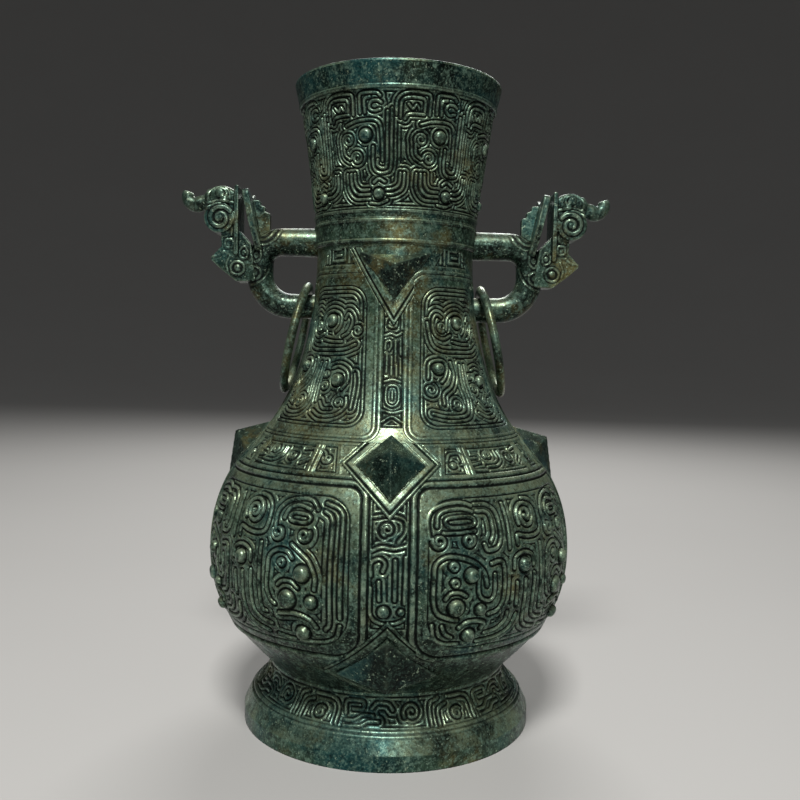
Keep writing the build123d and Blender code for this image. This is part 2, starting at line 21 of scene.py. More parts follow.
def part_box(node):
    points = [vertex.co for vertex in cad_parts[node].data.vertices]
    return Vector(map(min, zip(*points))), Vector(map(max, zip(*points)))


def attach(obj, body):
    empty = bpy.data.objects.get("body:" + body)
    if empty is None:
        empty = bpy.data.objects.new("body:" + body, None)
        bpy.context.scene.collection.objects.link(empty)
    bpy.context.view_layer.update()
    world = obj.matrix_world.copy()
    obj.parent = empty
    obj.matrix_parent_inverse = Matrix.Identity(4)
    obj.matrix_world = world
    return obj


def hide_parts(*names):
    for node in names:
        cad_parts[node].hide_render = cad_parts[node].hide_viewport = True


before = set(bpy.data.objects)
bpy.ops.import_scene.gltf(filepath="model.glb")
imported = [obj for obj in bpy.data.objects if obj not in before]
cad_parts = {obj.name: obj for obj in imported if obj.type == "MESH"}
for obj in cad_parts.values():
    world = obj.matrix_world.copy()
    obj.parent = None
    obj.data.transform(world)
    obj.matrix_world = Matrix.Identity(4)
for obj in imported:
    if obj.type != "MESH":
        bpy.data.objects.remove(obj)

LOG = logging.getLogger("hu_vessel")
MM = 0.001
VESSEL = "vessel"
BAKE_MAP = "OFBake"
# A distance beyond all others, in millimetres
FAR = 99.0
# Angle from one upright strap to the next, and from a strap to the middle of a panel
QUARTER = 90.0
EIGHTH = 45.0
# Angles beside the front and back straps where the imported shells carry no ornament
STRAP_BEARINGS = (-3.0, 3.0, 177.0, 183.0)
# Power of the cross section of a raised line: 2 is half round, and more is fuller
FULLNESS = 3.4
# How far from a figure the bands still run round it, in millimetres
FOLLOWED = 14.0
# Share of the edge slope of a field at which its bands may start
WELL_INSIDE = 0.6
# Points in one turn of a spiral, and where it ends as a share of its width
SPIRAL_POINTS = 22
SPIRAL_HEART = 0.55

Point = tuple[float, float]
Place = tuple[float, float, float]
Colour = tuple[float, float, float]
Array = np.ndarray
Piece = bpy.types.Object
Socket = bpy.types.NodeSocket


class Hand(Enum):
    """Which way a spiral winds inward, seen from outside."""

    CLOCKWISE = 1
    COUNTER = -1


class StrapKind(Enum):
    """What an upright strap of the body carries."""

    FACETED = "faceted bosses"
    HANDLE = "handle roots"


class Side(Enum):
    """Side of the vessel on which a handle stands."""

    LEFT = -1
    RIGHT = 1

    @property
    def word(self) -> str:
        """Ending of the part names on this side."""
        return self.name.lower()


def smooth_step(value: Array) -> Array:
    """Ease from 0 to 1 while the value goes from 0 to 1."""
    eased = np.clip(value, 0.0, 1.0)
    return eased * eased * (3.0 - 2.0 * eased)


def rounded(distance: Array, half_width: float) -> Array:
    """Share of the full height across a raised line with full, round shoulders."""
    return np.sqrt(np.clip(1.0 - np.abs(distance / half_width) ** FULLNESS, 0.0, 1.0))


def flat_topped(distance: Array, half_width: float, slope: float) -> Array:
    """Share of the full height across a band with a flat top and sides of a given slope width."""
    return smooth_step((half_width - np.abs(distance)) / slope)


def run_along(line: Array) -> Array:
    """Distance along a line from its start to each of its points."""
    return np.concatenate([[0.0], np.cumsum(np.hypot(*np.diff(line, axis=0).T))])


def smooth_path(points: Sequence[Point], closed: bool = False, per_span: int = 7) -> Array:
    """Draw a flowing line through a few points.

    Args:
        points: Points to pass through.
        closed: Whether the line returns to its start.
        per_span: Number of short pieces between two points.

    Returns:
        Points of the line, one per row.
    """
    given = np.asarray(points, float)
    if len(given) < 3:
        return given
    if closed:
        padded = np.vstack([given[-1], given, given[:2]])
    else:
        padded = np.vstack([2 * given[0] - given[1], given, 2 * given[-1] - given[-2]])
    steps = np.linspace(0.0, 1.0, per_span, endpoint=False)[:, None]
    spans = []
    for before, start, end, after in zip(padded[:-3], padded[1:-2], padded[2:-1], padded[3:]):
        bend = 2 * before - 5 * start + 4 * end - after
        twist = 3 * start - before - 3 * end + after
        spans.append(start + 0.5 * ((end - before) * steps + bend * steps**2 + twist * steps**3))
    spans.append(padded[-2][None, :])
    return np.vstack(spans)


@dataclass(frozen=True)
class SunkField:
    """How a field of ornament is sunk into the skin and filled.

    Attributes:
        ground: Height of the sunk ground between the ridges.
        edge: Width of the slope at the edge of the field.
        pitch: Distance from band to band; 0 leaves the ground between the figures bare.
        crown: Height of the bands over the skin.
        gap: Width of the bare ground next to a figure and between two bands.
        slope: Width of the sides of a band.
    """

    ground: float
    edge: float
    pitch: float = 0.0
    crown: float = 0.0
    gap: float = 0.0
    slope: float = 0.75


@dataclass
class ReliefSheet:
    """Heights drawn on an unrolled strip of the body, in millimetres over the cast skin.

    Attributes:
        start: Angle of the first column.
        period: Angle after which the strip repeats.
        top: Place of the first row down the outline.
        step: Distance between rows, and the most between columns.
        spread: Millimetres per degree on each row.
        bold: How much wider than drawn the lines of the figures are.
        lift: How much higher than drawn they are.
        ground: Height of the ground of the field that is being drawn.
        angles: Angle of each column.
        depths: Place of each row down the outline.
        height: Height at each place.
        clear: Distance from each place to the nearest figure or edge of its field.
    """

    start: float
    period: float
    top: float
    step: float
    spread: Array
    bold: float = 1.0
    lift: float = 0.0
    ground: float = 0.0
    angles: Array = field(init=False)
    depths: Array = field(init=False)
    height: Array = field(init=False)
    clear: Array = field(init=False)

    def __post_init__(self) -> None:
        """Lay out the even grid."""
        columns = int(math.ceil(self.period * self.spread.max() / self.step))
        self.angles = self.start + self.period / columns * np.arange(columns)
        self.depths = self.top + self.step * np.arange(len(self.spread))
        self.height = np.zeros((len(self.spread), columns))
        self.clear = np.full(self.height.shape, FAR)

    @property
    def turn(self) -> float:
        """Angle between two columns."""
        return self.angles[1] - self.angles[0]

    @property
    def down(self) -> Array:
        """Distance down the outline at each place."""
        return np.broadcast_to(self.depths[:, None], self.height.shape)

    @property
    def across(self) -> Array:
        """Distance from the middle of the nearest upright strap at each place."""
        fold = np.abs((self.angles + EIGHTH) % QUARTER - EIGHTH)
        return fold[None, :] * self.spread[:, None]

    def scale_at(self, depth: float) -> float:
        """Millimetres per degree at a place down the outline."""
        return float(np.interp(depth, self.depths, self.spread))

    def window(self, low: Point, high: Point) -> tuple[slice, slice]:
        """Rows and columns that hold a box.

        Args:
            low: Smallest angle and depth.
            high: Largest angle and depth.

        Returns:
            Slices of the rows and of the columns, which may be empty.
        """
        first_row = max(0, int((low[1] - self.top) / self.step))
        last_row = max(0, int((high[1] - self.top) / self.step) + 2)
        first_column = max(0, int((low[0] - self.start) / self.turn))
        last_column = max(0, int((high[0] - self.start) / self.turn) + 2)
        return slice(first_row, last_row), slice(first_column, last_column)

    def patches(self, path: Array, reach: float) -> Iterator[tuple[slice, slice, Array]]:
        """Distances from a line, on every patch of the strip that it comes near.

        Args:
            path: Points of the line.
            reach: How far from the line to look.

        Yields:
            Rows, columns and distances of a patch around one short piece of the line.
        """
        for shift in (-self.period, 0.0, self.period):
            for start, end in zip(path[:-1], path[1:]):
                scale = self.scale_at((start[1] + end[1]) / 2)
                side = reach / scale
                low = (min(start[0], end[0]) + shift - side, min(start[1], end[1]) - reach)
                high = (max(start[0], end[0]) + shift + side, max(start[1], end[1]) + reach)
                rows, columns = self.window(low, high)
                across = (self.angles[columns] - start[0] - shift)[None, :] * scale
                down = (self.depths[rows] - start[1])[:, None]
                if not across.size or not down.size:
                    continue
                run, fall = (end[0] - start[0]) * scale, end[1] - start[1]
                along = np.clip((across * run + down * fall) / max(run**2 + fall**2, 1e-9), 0.0, 1.0)
                yield rows, columns, np.hypot(across - along * run, down - along * fall)

    def raise_line(self, path: Array, width: float, crown: float) -> None:
        """Raise a rounded ridge along a line and note how near the strip comes to it.

        Args:
            path: Points of the line.
            width: Width of the ridge.
            crown: Height of its top over the skin.
        """
        half = width * self.bold / 2
        rise = crown + self.lift - self.ground
        for rows, columns, distance in self.patches(path, half + FOLLOWED):
            before = self.height[rows, columns]
            raised = np.maximum(before, self.ground + rise * rounded(distance, half))
            self.height[rows, columns] = np.where(distance < half, raised, before)
            self.clear[rows, columns] = np.minimum(self.clear[rows, columns], distance - half)

    def fill(self, inside: Array, sunk: SunkField) -> None:
        """Fill what is left of a field with bands that run round the figures in it.

        Args:
            inside: Share of the field at each place, from 0 to 1.
            sunk: How the field is filled.
        """
        phase = np.clip(self.clear - sunk.gap, 0.0, None) / sunk.pitch
        distance = np.abs(phase % 1.0 - 0.5) * sunk.pitch
        share = flat_topped(distance, (sunk.pitch - sunk.gap) / 2, sunk.slope)
        raised = np.maximum(self.height, self.ground + (sunk.crown - self.ground) * share)
        open_ground = (self.clear > sunk.gap) & (inside > WELL_INSIDE)
        self.height = np.where(open_ground, raised, self.height)

    def engrave(
        self, inset: Array, sunk: SunkField, strokes: Sequence["Stroke"], turns: Sequence[float] = (0.0,)
    ) -> None:
        """Sink a field, draw figures in it and fill the rest.

        Args:
            inset: Distance inside the field at each place, below 0 outside.
            sunk: How it is sunk and filled.
            strokes: The figures.
            turns: Degrees by which the figures are turned round the vessel, once for each time they show.
        """
        inside = smooth_step(inset / sunk.edge)
        self.ground = sunk.ground
        self.height = np.where(inset > 0.0, sunk.ground * inside, self.height)
        self.clear = np.clip(inset, 0.0, FAR)
        for turned in turns:
            for stroke in strokes:
                stroke.draw(self, turned)
        if sunk.pitch > 0.0:
            self.fill(inside, sunk)

    def softened(self, reach: float) -> Array:
        """The heights averaged over a small square.

        Args:
            reach: Half the side of the square.

        Returns:
            Averaged heights on the same grid.
        """
        soft = self.height
        width = self.turn * float(self.spread.mean())
        for axis, cell, mode in ((0, self.step, "edge"), (1, width, "wrap")):
            count = max(1, int(round(reach / cell)))
            margins = [(0, 0), (0, 0)]
            margins[axis] = (count + 1, count)
            total = np.cumsum(np.pad(soft, margins, mode=mode), axis=axis)
            size = 2 * count + 1
            ahead = np.take(total, range(size, total.shape[axis]), axis=axis)
            behind = np.take(total, range(0, total.shape[axis] - size), axis=axis)
            soft = (ahead - behind) / size
        return soft


@dataclass(frozen=True)
class Lines:
    """Long ridges or grooves that run side by side.

    Attributes:
        places: Distances at which they run.
        half_width: Half the width of each.
        crown: Height of a ridge over the skin, or minus the depth of a groove.
    """

    places: tuple[float, ...]
    half_width: float
    crown: float

    def lay(self, sheet: ReliefSheet, distance: Array) -> None:
        """Raise or cut the lines on a sheet.

        Args:
            sheet: Where to lay them.
            distance: The distance, at each place, in which they are measured.
        """
        for place in self.places:
            shaped = self.crown * rounded(distance - place, self.half_width)
            if self.crown < 0.0:
                sheet.height = sheet.height + shaped
            else:
                on_line = np.abs(distance - place) < self.half_width
                sheet.height = np.where(on_line, np.maximum(sheet.height, shaped), sheet.height)


@dataclass(frozen=True)
class Ridge:
    """A raised line drawn through points."""

    points: tuple[Point, ...]
    width: float = 2.6
    crown: float = 0.15
    closed: bool = False

    def draw(self, sheet: ReliefSheet, turned: float = 0.0) -> None:
        """Raise the line on a sheet, turned round the vessel by some degrees."""
        sheet.raise_line(smooth_path(self.points, self.closed) + (turned, 0.0), self.width, self.crown)


@dataclass(frozen=True)
class Spiral:
    """A raised line that winds in to a bead; it starts at an angle where 0 is right and 90 is down."""

    centre: Point
    radius: float
    turns: float = 1.5
    start: float = 0.0
    hand: Hand = Hand.CLOCKWISE
    width: float = 2.4
    crown: float = 0.3

    def draw(self, sheet: ReliefSheet, turned: float = 0.0) -> None:
        """Raise the spiral on a sheet.

        Args:
            sheet: Where to draw it.
            turned: Degrees by which it is turned round the vessel.
        """
        inner = self.width * SPIRAL_HEART
        share = np.linspace(0.0, 1.0, int(SPIRAL_POINTS * self.turns) + 2)
        reach = self.radius - self.width / 2 - share * (self.radius - self.width / 2 - inner)
        bearing = math.radians(self.start) + self.hand.value * 2 * math.pi * self.turns * share
        angle = self.centre[0] + turned + reach * np.cos(bearing) / sheet.scale_at(self.centre[1])
        depth = self.centre[1] + reach * np.sin(bearing)
        sheet.raise_line(np.column_stack([angle, depth]), self.width, self.crown)


@dataclass(frozen=True)
class Dome:
    """A round boss such as an eye."""

    centre: Point
    radius: float
    crown: float = 2.4

    def draw(self, sheet: ReliefSheet, turned: float = 0.0) -> None:
        """Raise the boss on a sheet, turned round the vessel by some degrees."""
        spot = np.array([self.centre, self.centre]) + (turned, 0.0)
        sheet.raise_line(spot, 2 * self.radius, self.crown)


Stroke = Ridge | Spiral | Dome


def ridges(width: float, crown: float, *lines: tuple[Point, ...]) -> tuple[Ridge, ...]:
    """Several raised lines of one width and height."""
    return tuple(Ridge(line, width, crown) for line in lines)


# One belly panel, between the upright straps at 0 and 90 degrees, measured down from the shoulder
BELLY_PANEL: tuple[Stroke, ...] = (
    *ridges(
        2.8, 0.15,
        ((11.2, 58), (10.9, 47), (12.8, 39), (17, 35), (22, 34.4), (25, 36.8)),
        ((26.2, 36), (30.5, 36.8), (33.3, 43), (33.9, 58), (32.5, 66), (29, 67.6), (27.9, 63.4)),
        ((12.4, 84), (12.9, 75), (16, 70.2), (20, 71), (24.4, 75), (27.4, 82), (28.4, 91)),
        ((12.3, 86), (12.4, 100), (13.6, 107.4), (16.2, 111), (19.5, 113.4)),
        ((30, 76.6), (33, 75.6), (34.4, 81), (34.3, 101), (32.6, 108.6), (29.6, 111)),
        ((12.3, 116), (13.3, 126), (16.4, 131.4), (21, 132.6)),
        ((27.4, 132), (34, 130.4), (38.6, 125), (40.2, 115)),
        ((40.2, 66), (40.4, 60), (44, 61.6), (48.4, 62), (51.6, 58), (52, 44), (49.6, 37), (46, 35)),
        ((43.0, 91), (43.4, 118), (46.5, 127), (52, 131)),
        ((47.0, 88), (47.2, 114), (50, 121.6), (54, 124)),
        ((55, 57), (54.8, 46), (57.4, 38), (62, 34.6), (66, 35.2), (68.4, 41)),
        ((61.6, 66), (64.6, 70.8), (67.6, 76.4), (69.5, 86), (69.4, 94)),
        ((53.8, 86), (54.2, 76), (57, 70.8), (60.4, 71), (62.2, 75)),
        ((55.6, 131.8), (61, 133.2), (70, 132.8), (75, 128), (76.6, 118)),
        ((71, 36.4), (75.6, 41), (76.8, 54), (76.8, 112)),
    ),
    *ridges(
        2.6, 0.15,
        ((13.6, 50), (14.4, 42.4), (17.6, 39.2), (22, 38.8), (25, 41)),
        ((26.8, 40.8), (29.6, 41.4), (31.1, 46), (31.2, 57), (30.2, 62)),
        ((15.3, 117), (16.4, 123), (18.6, 126.6)),
        ((29.4, 125.6), (33.4, 123.6), (36, 118), (36.4, 112)),
        ((36.6, 37), (37, 52), (36.8, 68)),
        ((38.2, 82), (38.8, 75), (42.4, 72), (46, 75), (46.6, 82)),
        ((39.4, 92), (39.6, 108)),
        ((50.6, 68), (50.8, 110), (52.8, 115)),
        ((57.6, 49), (59, 42), (62.2, 39.4), (66, 41.4)),
        ((53.7, 88), (53.6, 98), (54.8, 105.4), (56.4, 108)),
        ((71, 42), (73.2, 46), (73.8, 58), (73.8, 112), (72.2, 122)),
    ),
    *ridges(
        2.4, 0.15,
        ((15.8, 98), (17.2, 94.4), (19.6, 94), (21.8, 96.6)),
        ((25.9, 80), (25.7, 94), (27.2, 100), (29.8, 101), (31, 96), (31, 84)),
        ((57.6, 94), (59.2, 91), (62, 90.6), (64.4, 94.4)),
    ),
    Ridge(((16.2, 47), (18, 44.4), (23.6, 44.2), (25.4, 47), (24.4, 50.4), (18, 51)), 2.4, 0.4, True),
    Spiral((14.0, 60), 6.2, 1.4, 200, Hand.COUNTER, 2.8, 1.2),
    Spiral((22.9, 60), 5.6, 1.3, -30, Hand.CLOCKWISE, 2.8, 1.2),
    Spiral((18.2, 77), 4.0, 1.3, 180, Hand.CLOCKWISE, 2.4, 0.6),
    Dome((23.3, 83), 5.4, 3.8),
    Spiral((18.5, 88), 3.8, 1.2, 200, Hand.CLOCKWISE, 2.2, 0.6),
    Dome((19.0, 104.4), 6.4, 2.6),
    Dome((26.6, 107), 4.4, 2.6),
    Dome((23.8, 125.4), 5.2, 3.4),
    Spiral((45.4, 47.5), 11.5, 2.1, 150, Hand.CLOCKWISE, 3.0, 0.9),
    Dome((42.4, 80.6), 5.6, 3.2),
    Ridge(((59.6, 47.4), (61.2, 44.8), (65.4, 45.4), (66.6, 48.2), (65, 50.8), (60.6, 50.4)), 2.4, 0.4, True),
    Spiral((56.6, 59.4), 6.4, 1.4, 200, Hand.COUNTER, 2.8, 1.2),
    Spiral((65.4, 59.2), 5.8, 1.3, -30, Hand.CLOCKWISE, 2.8, 1.2),
    Spiral((58.8, 79), 3.8, 1.2, 180, Hand.CLOCKWISE, 2.2, 0.6),
    Dome((65.6, 84.4), 6.2, 4.0),
    Dome((60.8, 103), 7.2, 2.8),
    Dome((68.4, 103), 4.8, 2.8),
    Dome((65, 126.4), 5.6, 3.6),
    Ridge(((15.4, 54.6), (20, 54.8), (25.2, 54)), 2.2),
    Ridge(((20.5, 119), (22.6, 115.4), (26, 115), (28.4, 117.4), (27.6, 121)), 2.8, 0.6),
    Ridge(((57.6, 114), (63, 112.4), (67.4, 115), (69.6, 121)), 2.8, 0.6),
)

# Ornament of the upright strap on the belly, with its middle at 0 degrees
BELLY_STRAP: tuple[Stroke, ...] = (
    *ridges(
        2.2, 0.0,
        ((-4.6, 44), (-1, 42.6), (2.6, 43.6), (4.6, 47), (4.6, 54), (2.6, 60)),
        ((-4.8, 66), (-2, 63.4), (1.6, 64.4), (4.8, 62.6)),
        ((-4.8, 82), (-4.8, 74), (-2.6, 71), (-1, 74), (-1.6, 79)),
        ((4.6, 70), (4.4, 100)),
        ((1.8, 72), (1.8, 98)),
        ((-2.6, 86), (-2.4, 98)),
        ((-4.8, 90), (-4.8, 108), (-2, 114), (2, 114), (4.6, 111)),
    ),
    Spiral((-0.6, 52), 5.4, 1.6, 110, Hand.CLOCKWISE, 2.2, 0.2),
    Dome((-1.2, 106), 4.4, 1.6),
    Dome((3.6, 106), 2.4, 1.0),
)

# One panel of the neck between two upright straps, measured down from the collar
NECK_PANEL: tuple[Stroke, ...] = (
    *ridges(
        2.3, 0.15,
        ((36, 82), (38, 73), (45, 69), (52.6, 72), (53.6, 80), (50, 85)),
        ((33, 73), (29, 71), (26, 76), (27, 85), (33, 88.6), (39, 86)),
        ((56, 88), (60, 85), (62.4, 77), (59, 71.4), (56.6, 75)),
        ((22, 77), (24.4, 92), (31, 97.4), (44, 98), (58, 97.6), (66, 94)),
        ((20, 118), (22, 106.6), (30, 104.6), (33, 110), (31, 117), (28, 121)),
        ((53, 112), (58, 110.6), (63.4, 114), (65, 121), (62, 128)),
    ),
    *ridges(
        2.2, 0.15,
        ((40, 90.6), (48, 92), (56, 92)),
        ((47, 108), (46.4, 124), (47.6, 138)),
        ((50.6, 138), (54, 143), (59, 143)),
        ((68.4, 116), (69.6, 124), (69.6, 142)),
    ),
    *ridges(
        2.4, 0.15,
        ((36, 106), (37, 116), (34, 124), (28, 130), (27, 138)),
        ((43, 108), (41.6, 122), (42.6, 136), (39, 146), (28, 147.6), (20, 145)),
        ((48, 145), (54, 149), (62, 147.6), (66.6, 141), (66, 134)),
    ),
    Dome((45.6, 76.5), 5.2, 2.6),
    Spiral((32.4, 80), 4.6, 1.5, 60, Hand.CLOCKWISE, 2.0, 0.2),
    Spiral((66.6, 84), 4.4, 1.5, 220, Hand.CLOCKWISE, 2.0, 0.2),
    Dome((26.8, 111), 4.8, 3.2),
    Dome((58.4, 121), 5.2, 3.2),
    Spiral((20.8, 127), 6.2, 1.7, -60, Hand.CLOCKWISE, 2.2, 0.4),
    Spiral((34.4, 138), 5.2, 1.4, 140, Hand.COUNTER, 2.1, 0.2),
    Spiral((50, 117), 3.6, 1.2, 140, Hand.CLOCKWISE, 2.0, 0.2),
    Spiral((50.6, 126), 4.4, 1.4, 200, Hand.CLOCKWISE, 2.0, 0.2),
    Spiral((62.4, 138), 4.6, 1.5, 30, Hand.COUNTER, 2.0, 0.2),
)

# Ornament of the upright strap on the neck, with its middle at 0 degrees
NECK_STRAP: tuple[Stroke, ...] = (
    *ridges(
        1.9, 0.0,
        ((-5.2, 72), (-4.4, 69.4), (4.4, 69.4), (5.4, 73), (5.4, 82)),
        ((-5.2, 87), (-1.6, 85.6), (2, 87), (5.2, 84.8)),
        ((-4.8, 97), (-4.4, 92), (-1.8, 91), (-1.2, 95), (-2.4, 98)),
        ((4.4, 90), (4.4, 101)),
        ((1.4, 91), (1.4, 106)),
        ((-3.6, 101), (-3.6, 114)),
        ((-0.8, 103), (-0.8, 116)),
        ((2.0, 109), (2.0, 117)),
        ((4.3, 104), (4.3, 115)),
        ((-4.4, 121), (0, 119.4), (4.2, 121)),
        ((0, 128), (0, 134.6)),
        ((-5, 142.6), (0, 144.4), (5, 142.6)),
        ((-4.8, 152), (0, 147.4), (4.8, 152)),
    ),
    Spiral((-0.4, 78), 4.6, 1.6, 150, Hand.COUNTER, 1.9, 0.1),
    Ridge(((-3, 126), (-3, 136), (0, 139.6), (3, 136), (3, 126), (0, 123.6)), 1.9, 0.0, True),
)

# Meander in the sloping field beside a neck boss
NECK_MEANDER: tuple[Stroke, ...] = (
    *ridges(
        1.7, 0.1,
        ((48.6, 24), (40.6, 24)),
        ((40.6, 24), (40.6, 32.4)),
        ((40.6, 32.4), (52.6, 32.4)),
        ((52.6, 32.4), (52.6, 24.4)),
        ((44.4, 28.4), (49, 28.4)),
        ((36.8, 24), (36.8, 34)),
        ((56.4, 24), (56.4, 34)),
        ((33.4, 28.4), (33.4, 33.4)),
        ((60, 28.4), (60, 33.4)),
    ),
)

# One of eight units round the mouth collar, measured down from the lip
COLLAR_UNIT: tuple[Stroke, ...] = (
    *ridges(
        2.0, 0.15,
        ((-34.2, 60), (-33.6, 66.6), (-30.4, 69.6)),
        ((-9, 71.6), (-9.2, 58), (-10.4, 47), (-14.6, 43.4), (-24, 43.6), (-31.6, 46.4)),
        ((-12, 71), (-12.2, 74.6), (-9, 76.6), (-6.4, 74), (-6.2, 56), (-6, 38)),
        ((-14.8, 62), (-14.8, 75), (-12, 79.4), (-7, 79.6), (-3.8, 76), (-3.6, 56), (-3.4, 36)),
        ((-9.6, 32), (-12, 30.4), (-15.6, 31.4), (-16.6, 35.4), (-14, 37.6), (-10.4, 36.6)),
        ((-10.2, 27.4), (-12.6, 25.2), (-20.6, 25.2), (-22.4, 28), (-22.4, 38.4)),
        ((-19.4, 38.6), (-19.4, 29.8), (-16.4, 28)),
        ((-26.6, 39.4), (-26.6, 28), (-29.4, 25), (-40, 25), (-45.4, 30), (-46, 40)),
        ((-29.8, 37.4), (-29.8, 30.4), (-32.6, 28.4), (-40, 28.6), (-43, 32), (-43.6, 42)),
        ((-29.8, 39.4), (-38.6, 39.6), (-41, 43)),
        ((-27.4, 80), (-26.8, 87), (-23.6, 91.2), (-17.6, 91.6)),
        ((-30, 80), (-29.6, 89), (-25.4, 94.4), (-17.4, 94.8)),
        ((-32.8, 80), (-32.6, 90.6), (-27.6, 97.6), (-17.2, 98)),
        ((-17, 100.8), (-11.4, 101.4), (-6, 99)),
        ((-6.6, 91.4), (-2.6, 91), (1.4, 87.6), (2.2, 80)),
        ((-6.4, 94.8), (-1.4, 94.4), (3.8, 90.2), (4.6, 80)),
        ((-14.6, 86.4), (-11.4, 84), (-7.4, 86.2)),
    ),
    Dome((-19.3, 53.6), 5.0, 2.4),
    Spiral((-31, 56.6), 5.8, 1.7, 110, Hand.CLOCKWISE, 2.0, 0.1),
    Spiral((-25.4, 69.2), 5.4, 1.6, 180, Hand.CLOCKWISE, 2.0, 0.1),
    Dome((-11.4, 94.3), 4.1, 2.2),
    Ridge(((-33, 36), (-34.6, 33.2), (-36.6, 36), (-39.2, 33)), 1.8),
)

# Ornament of the shoulder register between two crossings, measured down from the shoulder
SHOULDER_BOX: tuple[Stroke, ...] = (
    *ridges(
        2.0, 0.1,
        ((20.6, 3), (22.4, -2.4), (26.4, -2.8), (29, 1), (33.6, 1.6)),
        ((26, 6.4), (30, 6.8), (34.4, 5.4)),
        ((37, 9), (42, 8.6), (45.6, 4), (46, -3)),
        ((55.6, -3.4), (60, -4.4), (64.4, -2.4), (66, 3)),
        ((56, 8.6), (60, 4.4), (61.4, 9.6)),
        ((29, 11), (36, 11.6)),
    ),
    Dome((22.6, 6.6), 3.0, 0.6),
    Spiral((39.4, -0.4), 4.6, 1.6, 150, Hand.CLOCKWISE, 1.9, 0.2),
    Spiral((50.6, 3), 4.6, 1.6, 330, Hand.CLOCKWISE, 1.9, 0.2),
    Spiral((66.4, 3.4), 4.6, 1.5, 200, Hand.COUNTER, 1.9, 0.2),
)

# One of six units round the foot, measured down from the waist
FOOT_UNIT: tuple[Stroke, ...] = (
    *ridges(
        2.0, 0.0,
        ((19, 23), (19.6, 9), (23.4, 5.6)),
        ((22.6, 23.4), (23, 13), (26.6, 9.4)),
        ((28, 5.6), (36, 6), (39.6, 11), (39.6, 23)),
        ((43, 15), (43, 7), (50, 6.6), (50, 11.4), (46, 11.6)),
        ((43, 19.4), (47, 19), (50.4, 15.4), (54.6, 15)),
        ((43, 23.4), (49.4, 22.8), (53, 19.4), (57, 19.2)),
        ((54, 10.6), (56.6, 6.8), (61, 7.4), (63, 11)),
    ),
    Spiral((11, 13), 7.0, 1.5, 150, Hand.CLOCKWISE, 2.1, 0.2),
    Spiral((31.4, 17.4), 5.2, 1.4, 320, Hand.COUNTER, 2.0, 0.2),
)


@dataclass(frozen=True)
class BodySizes:
    """Places on the body that the drawings are measured from, in millimetres.

    The seam, where the skins of neck and belly meet, is measured up the outline from the shoulder. The mouth
    is the straight seat inside the lip.
    """

    rim_height: float = 20.0
    strap_height: float = 18.5
    bevel_top: float = 20.5
    seam: float = 11.5
    wall: float = 5.0
    mouth_radius: float = 70.0
    mouth_depth: float = 14.0


def mesh_points(piece: Piece) -> tuple[Array, Array]:
    """Places in millimetres and outward directions of the points of a mesh.

    Args:
        piece: The mesh object.

    Returns:
        Places and directions, one per row.
    """
    mesh = piece.data
    places = np.empty(len(mesh.vertices) * 3, np.float32)
    mesh.vertices.foreach_get("co", places)
    normals = np.empty(len(mesh.vertices) * 3, np.float32)
    mesh.vertices.foreach_get("normal", normals)
    return places.reshape(-1, 3).astype(float) / MM, normals.reshape(-1, 3).astype(float)


def skin_points(node: str, low: float, high: float) -> Array:
    """Outline of the outside of a round part between two levels, from the top down.

    Args:
        node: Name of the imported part.
        low: Lowest level.
        high: Highest level.

    Returns:
        Rows of radius and level, in millimetres.
    """
    least_outward = 0.4
    same_level = 0.05
    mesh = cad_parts[node].data
    mesh.calc_loop_triangles()
    places, _ = mesh_points(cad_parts[node])
    corners = np.empty(len(mesh.loop_triangles) * 3, np.int32)
    mesh.loop_triangles.foreach_get("vertices", corners)
    triangles = places[corners.reshape(-1, 3)]
    normals = np.cross(triangles[:, 1] - triangles[:, 0], triangles[:, 2] - triangles[:, 0])
    middles = triangles.mean(axis=1)
    outward = (normals[:, :2] * middles[:, :2]).sum(axis=1)
    outward /= np.linalg.norm(normals, axis=1) * np.hypot(middles[:, 0], middles[:, 1]) + 1e-12
    chosen = (outward > least_outward) & (middles[:, 2] > low) & (middles[:, 2] < high)
    points = triangles[chosen].reshape(-1, 3)
    _, groups = np.unique(np.round(points[:, 2] / same_level), return_inverse=True)
    sizes = np.bincount(groups)
    radii = np.bincount(groups, np.hypot(points[:, 0], points[:, 1])) / sizes
    heights = np.bincount(groups, points[:, 2]) / sizes
    return np.column_stack([radii, heights])[::-1]


def bare_outline(node: str, low: float, high: float, bearings: Sequence[float]) -> Array:
    """Outline of a round part between two levels where it carries no ornament, from the top down.

    Args:
        node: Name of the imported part.
        low: Lowest level.
        high: Highest level.
        bearings: Angles from the front at which to feel for the part; the smallest reach counts.

    Returns:
        Rows of radius and level, in millimetres.
    """
    start_radius = 0.3
    edge_gap = 0.03
    averaged = 7
    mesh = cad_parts[node].data
    shape = BVHTree.FromPolygons([v.co for v in mesh.vertices], [p.vertices for p in mesh.polygons])
    count = int(math.ceil(high - low))
    levels = np.linspace(high - edge_gap, low + edge_gap, count + 1)
    reach = np.full(len(levels), FAR * 10)
    for bearing in bearings:
        out = Vector((math.sin(math.radians(bearing)), -math.cos(math.radians(bearing)), 0.0))
        for row, level in enumerate(levels):
            start = out * start_radius + Vector((0.0, 0.0, level * MM))
            spot = shape.ray_cast(start, -out)[0]
            if spot:
                reach[row] = min(reach[row], math.hypot(spot.x, spot.y) / MM)
    margin = averaged // 2
    before = 2 * reach[0] - reach[margin:0:-1]
    after = 2 * reach[-1] - reach[-2 : -2 - margin : -1]
    padded = np.concatenate([before, reach, after])
    return np.column_stack([np.convolve(padded, np.ones(averaged) / averaged, "valid"), levels])


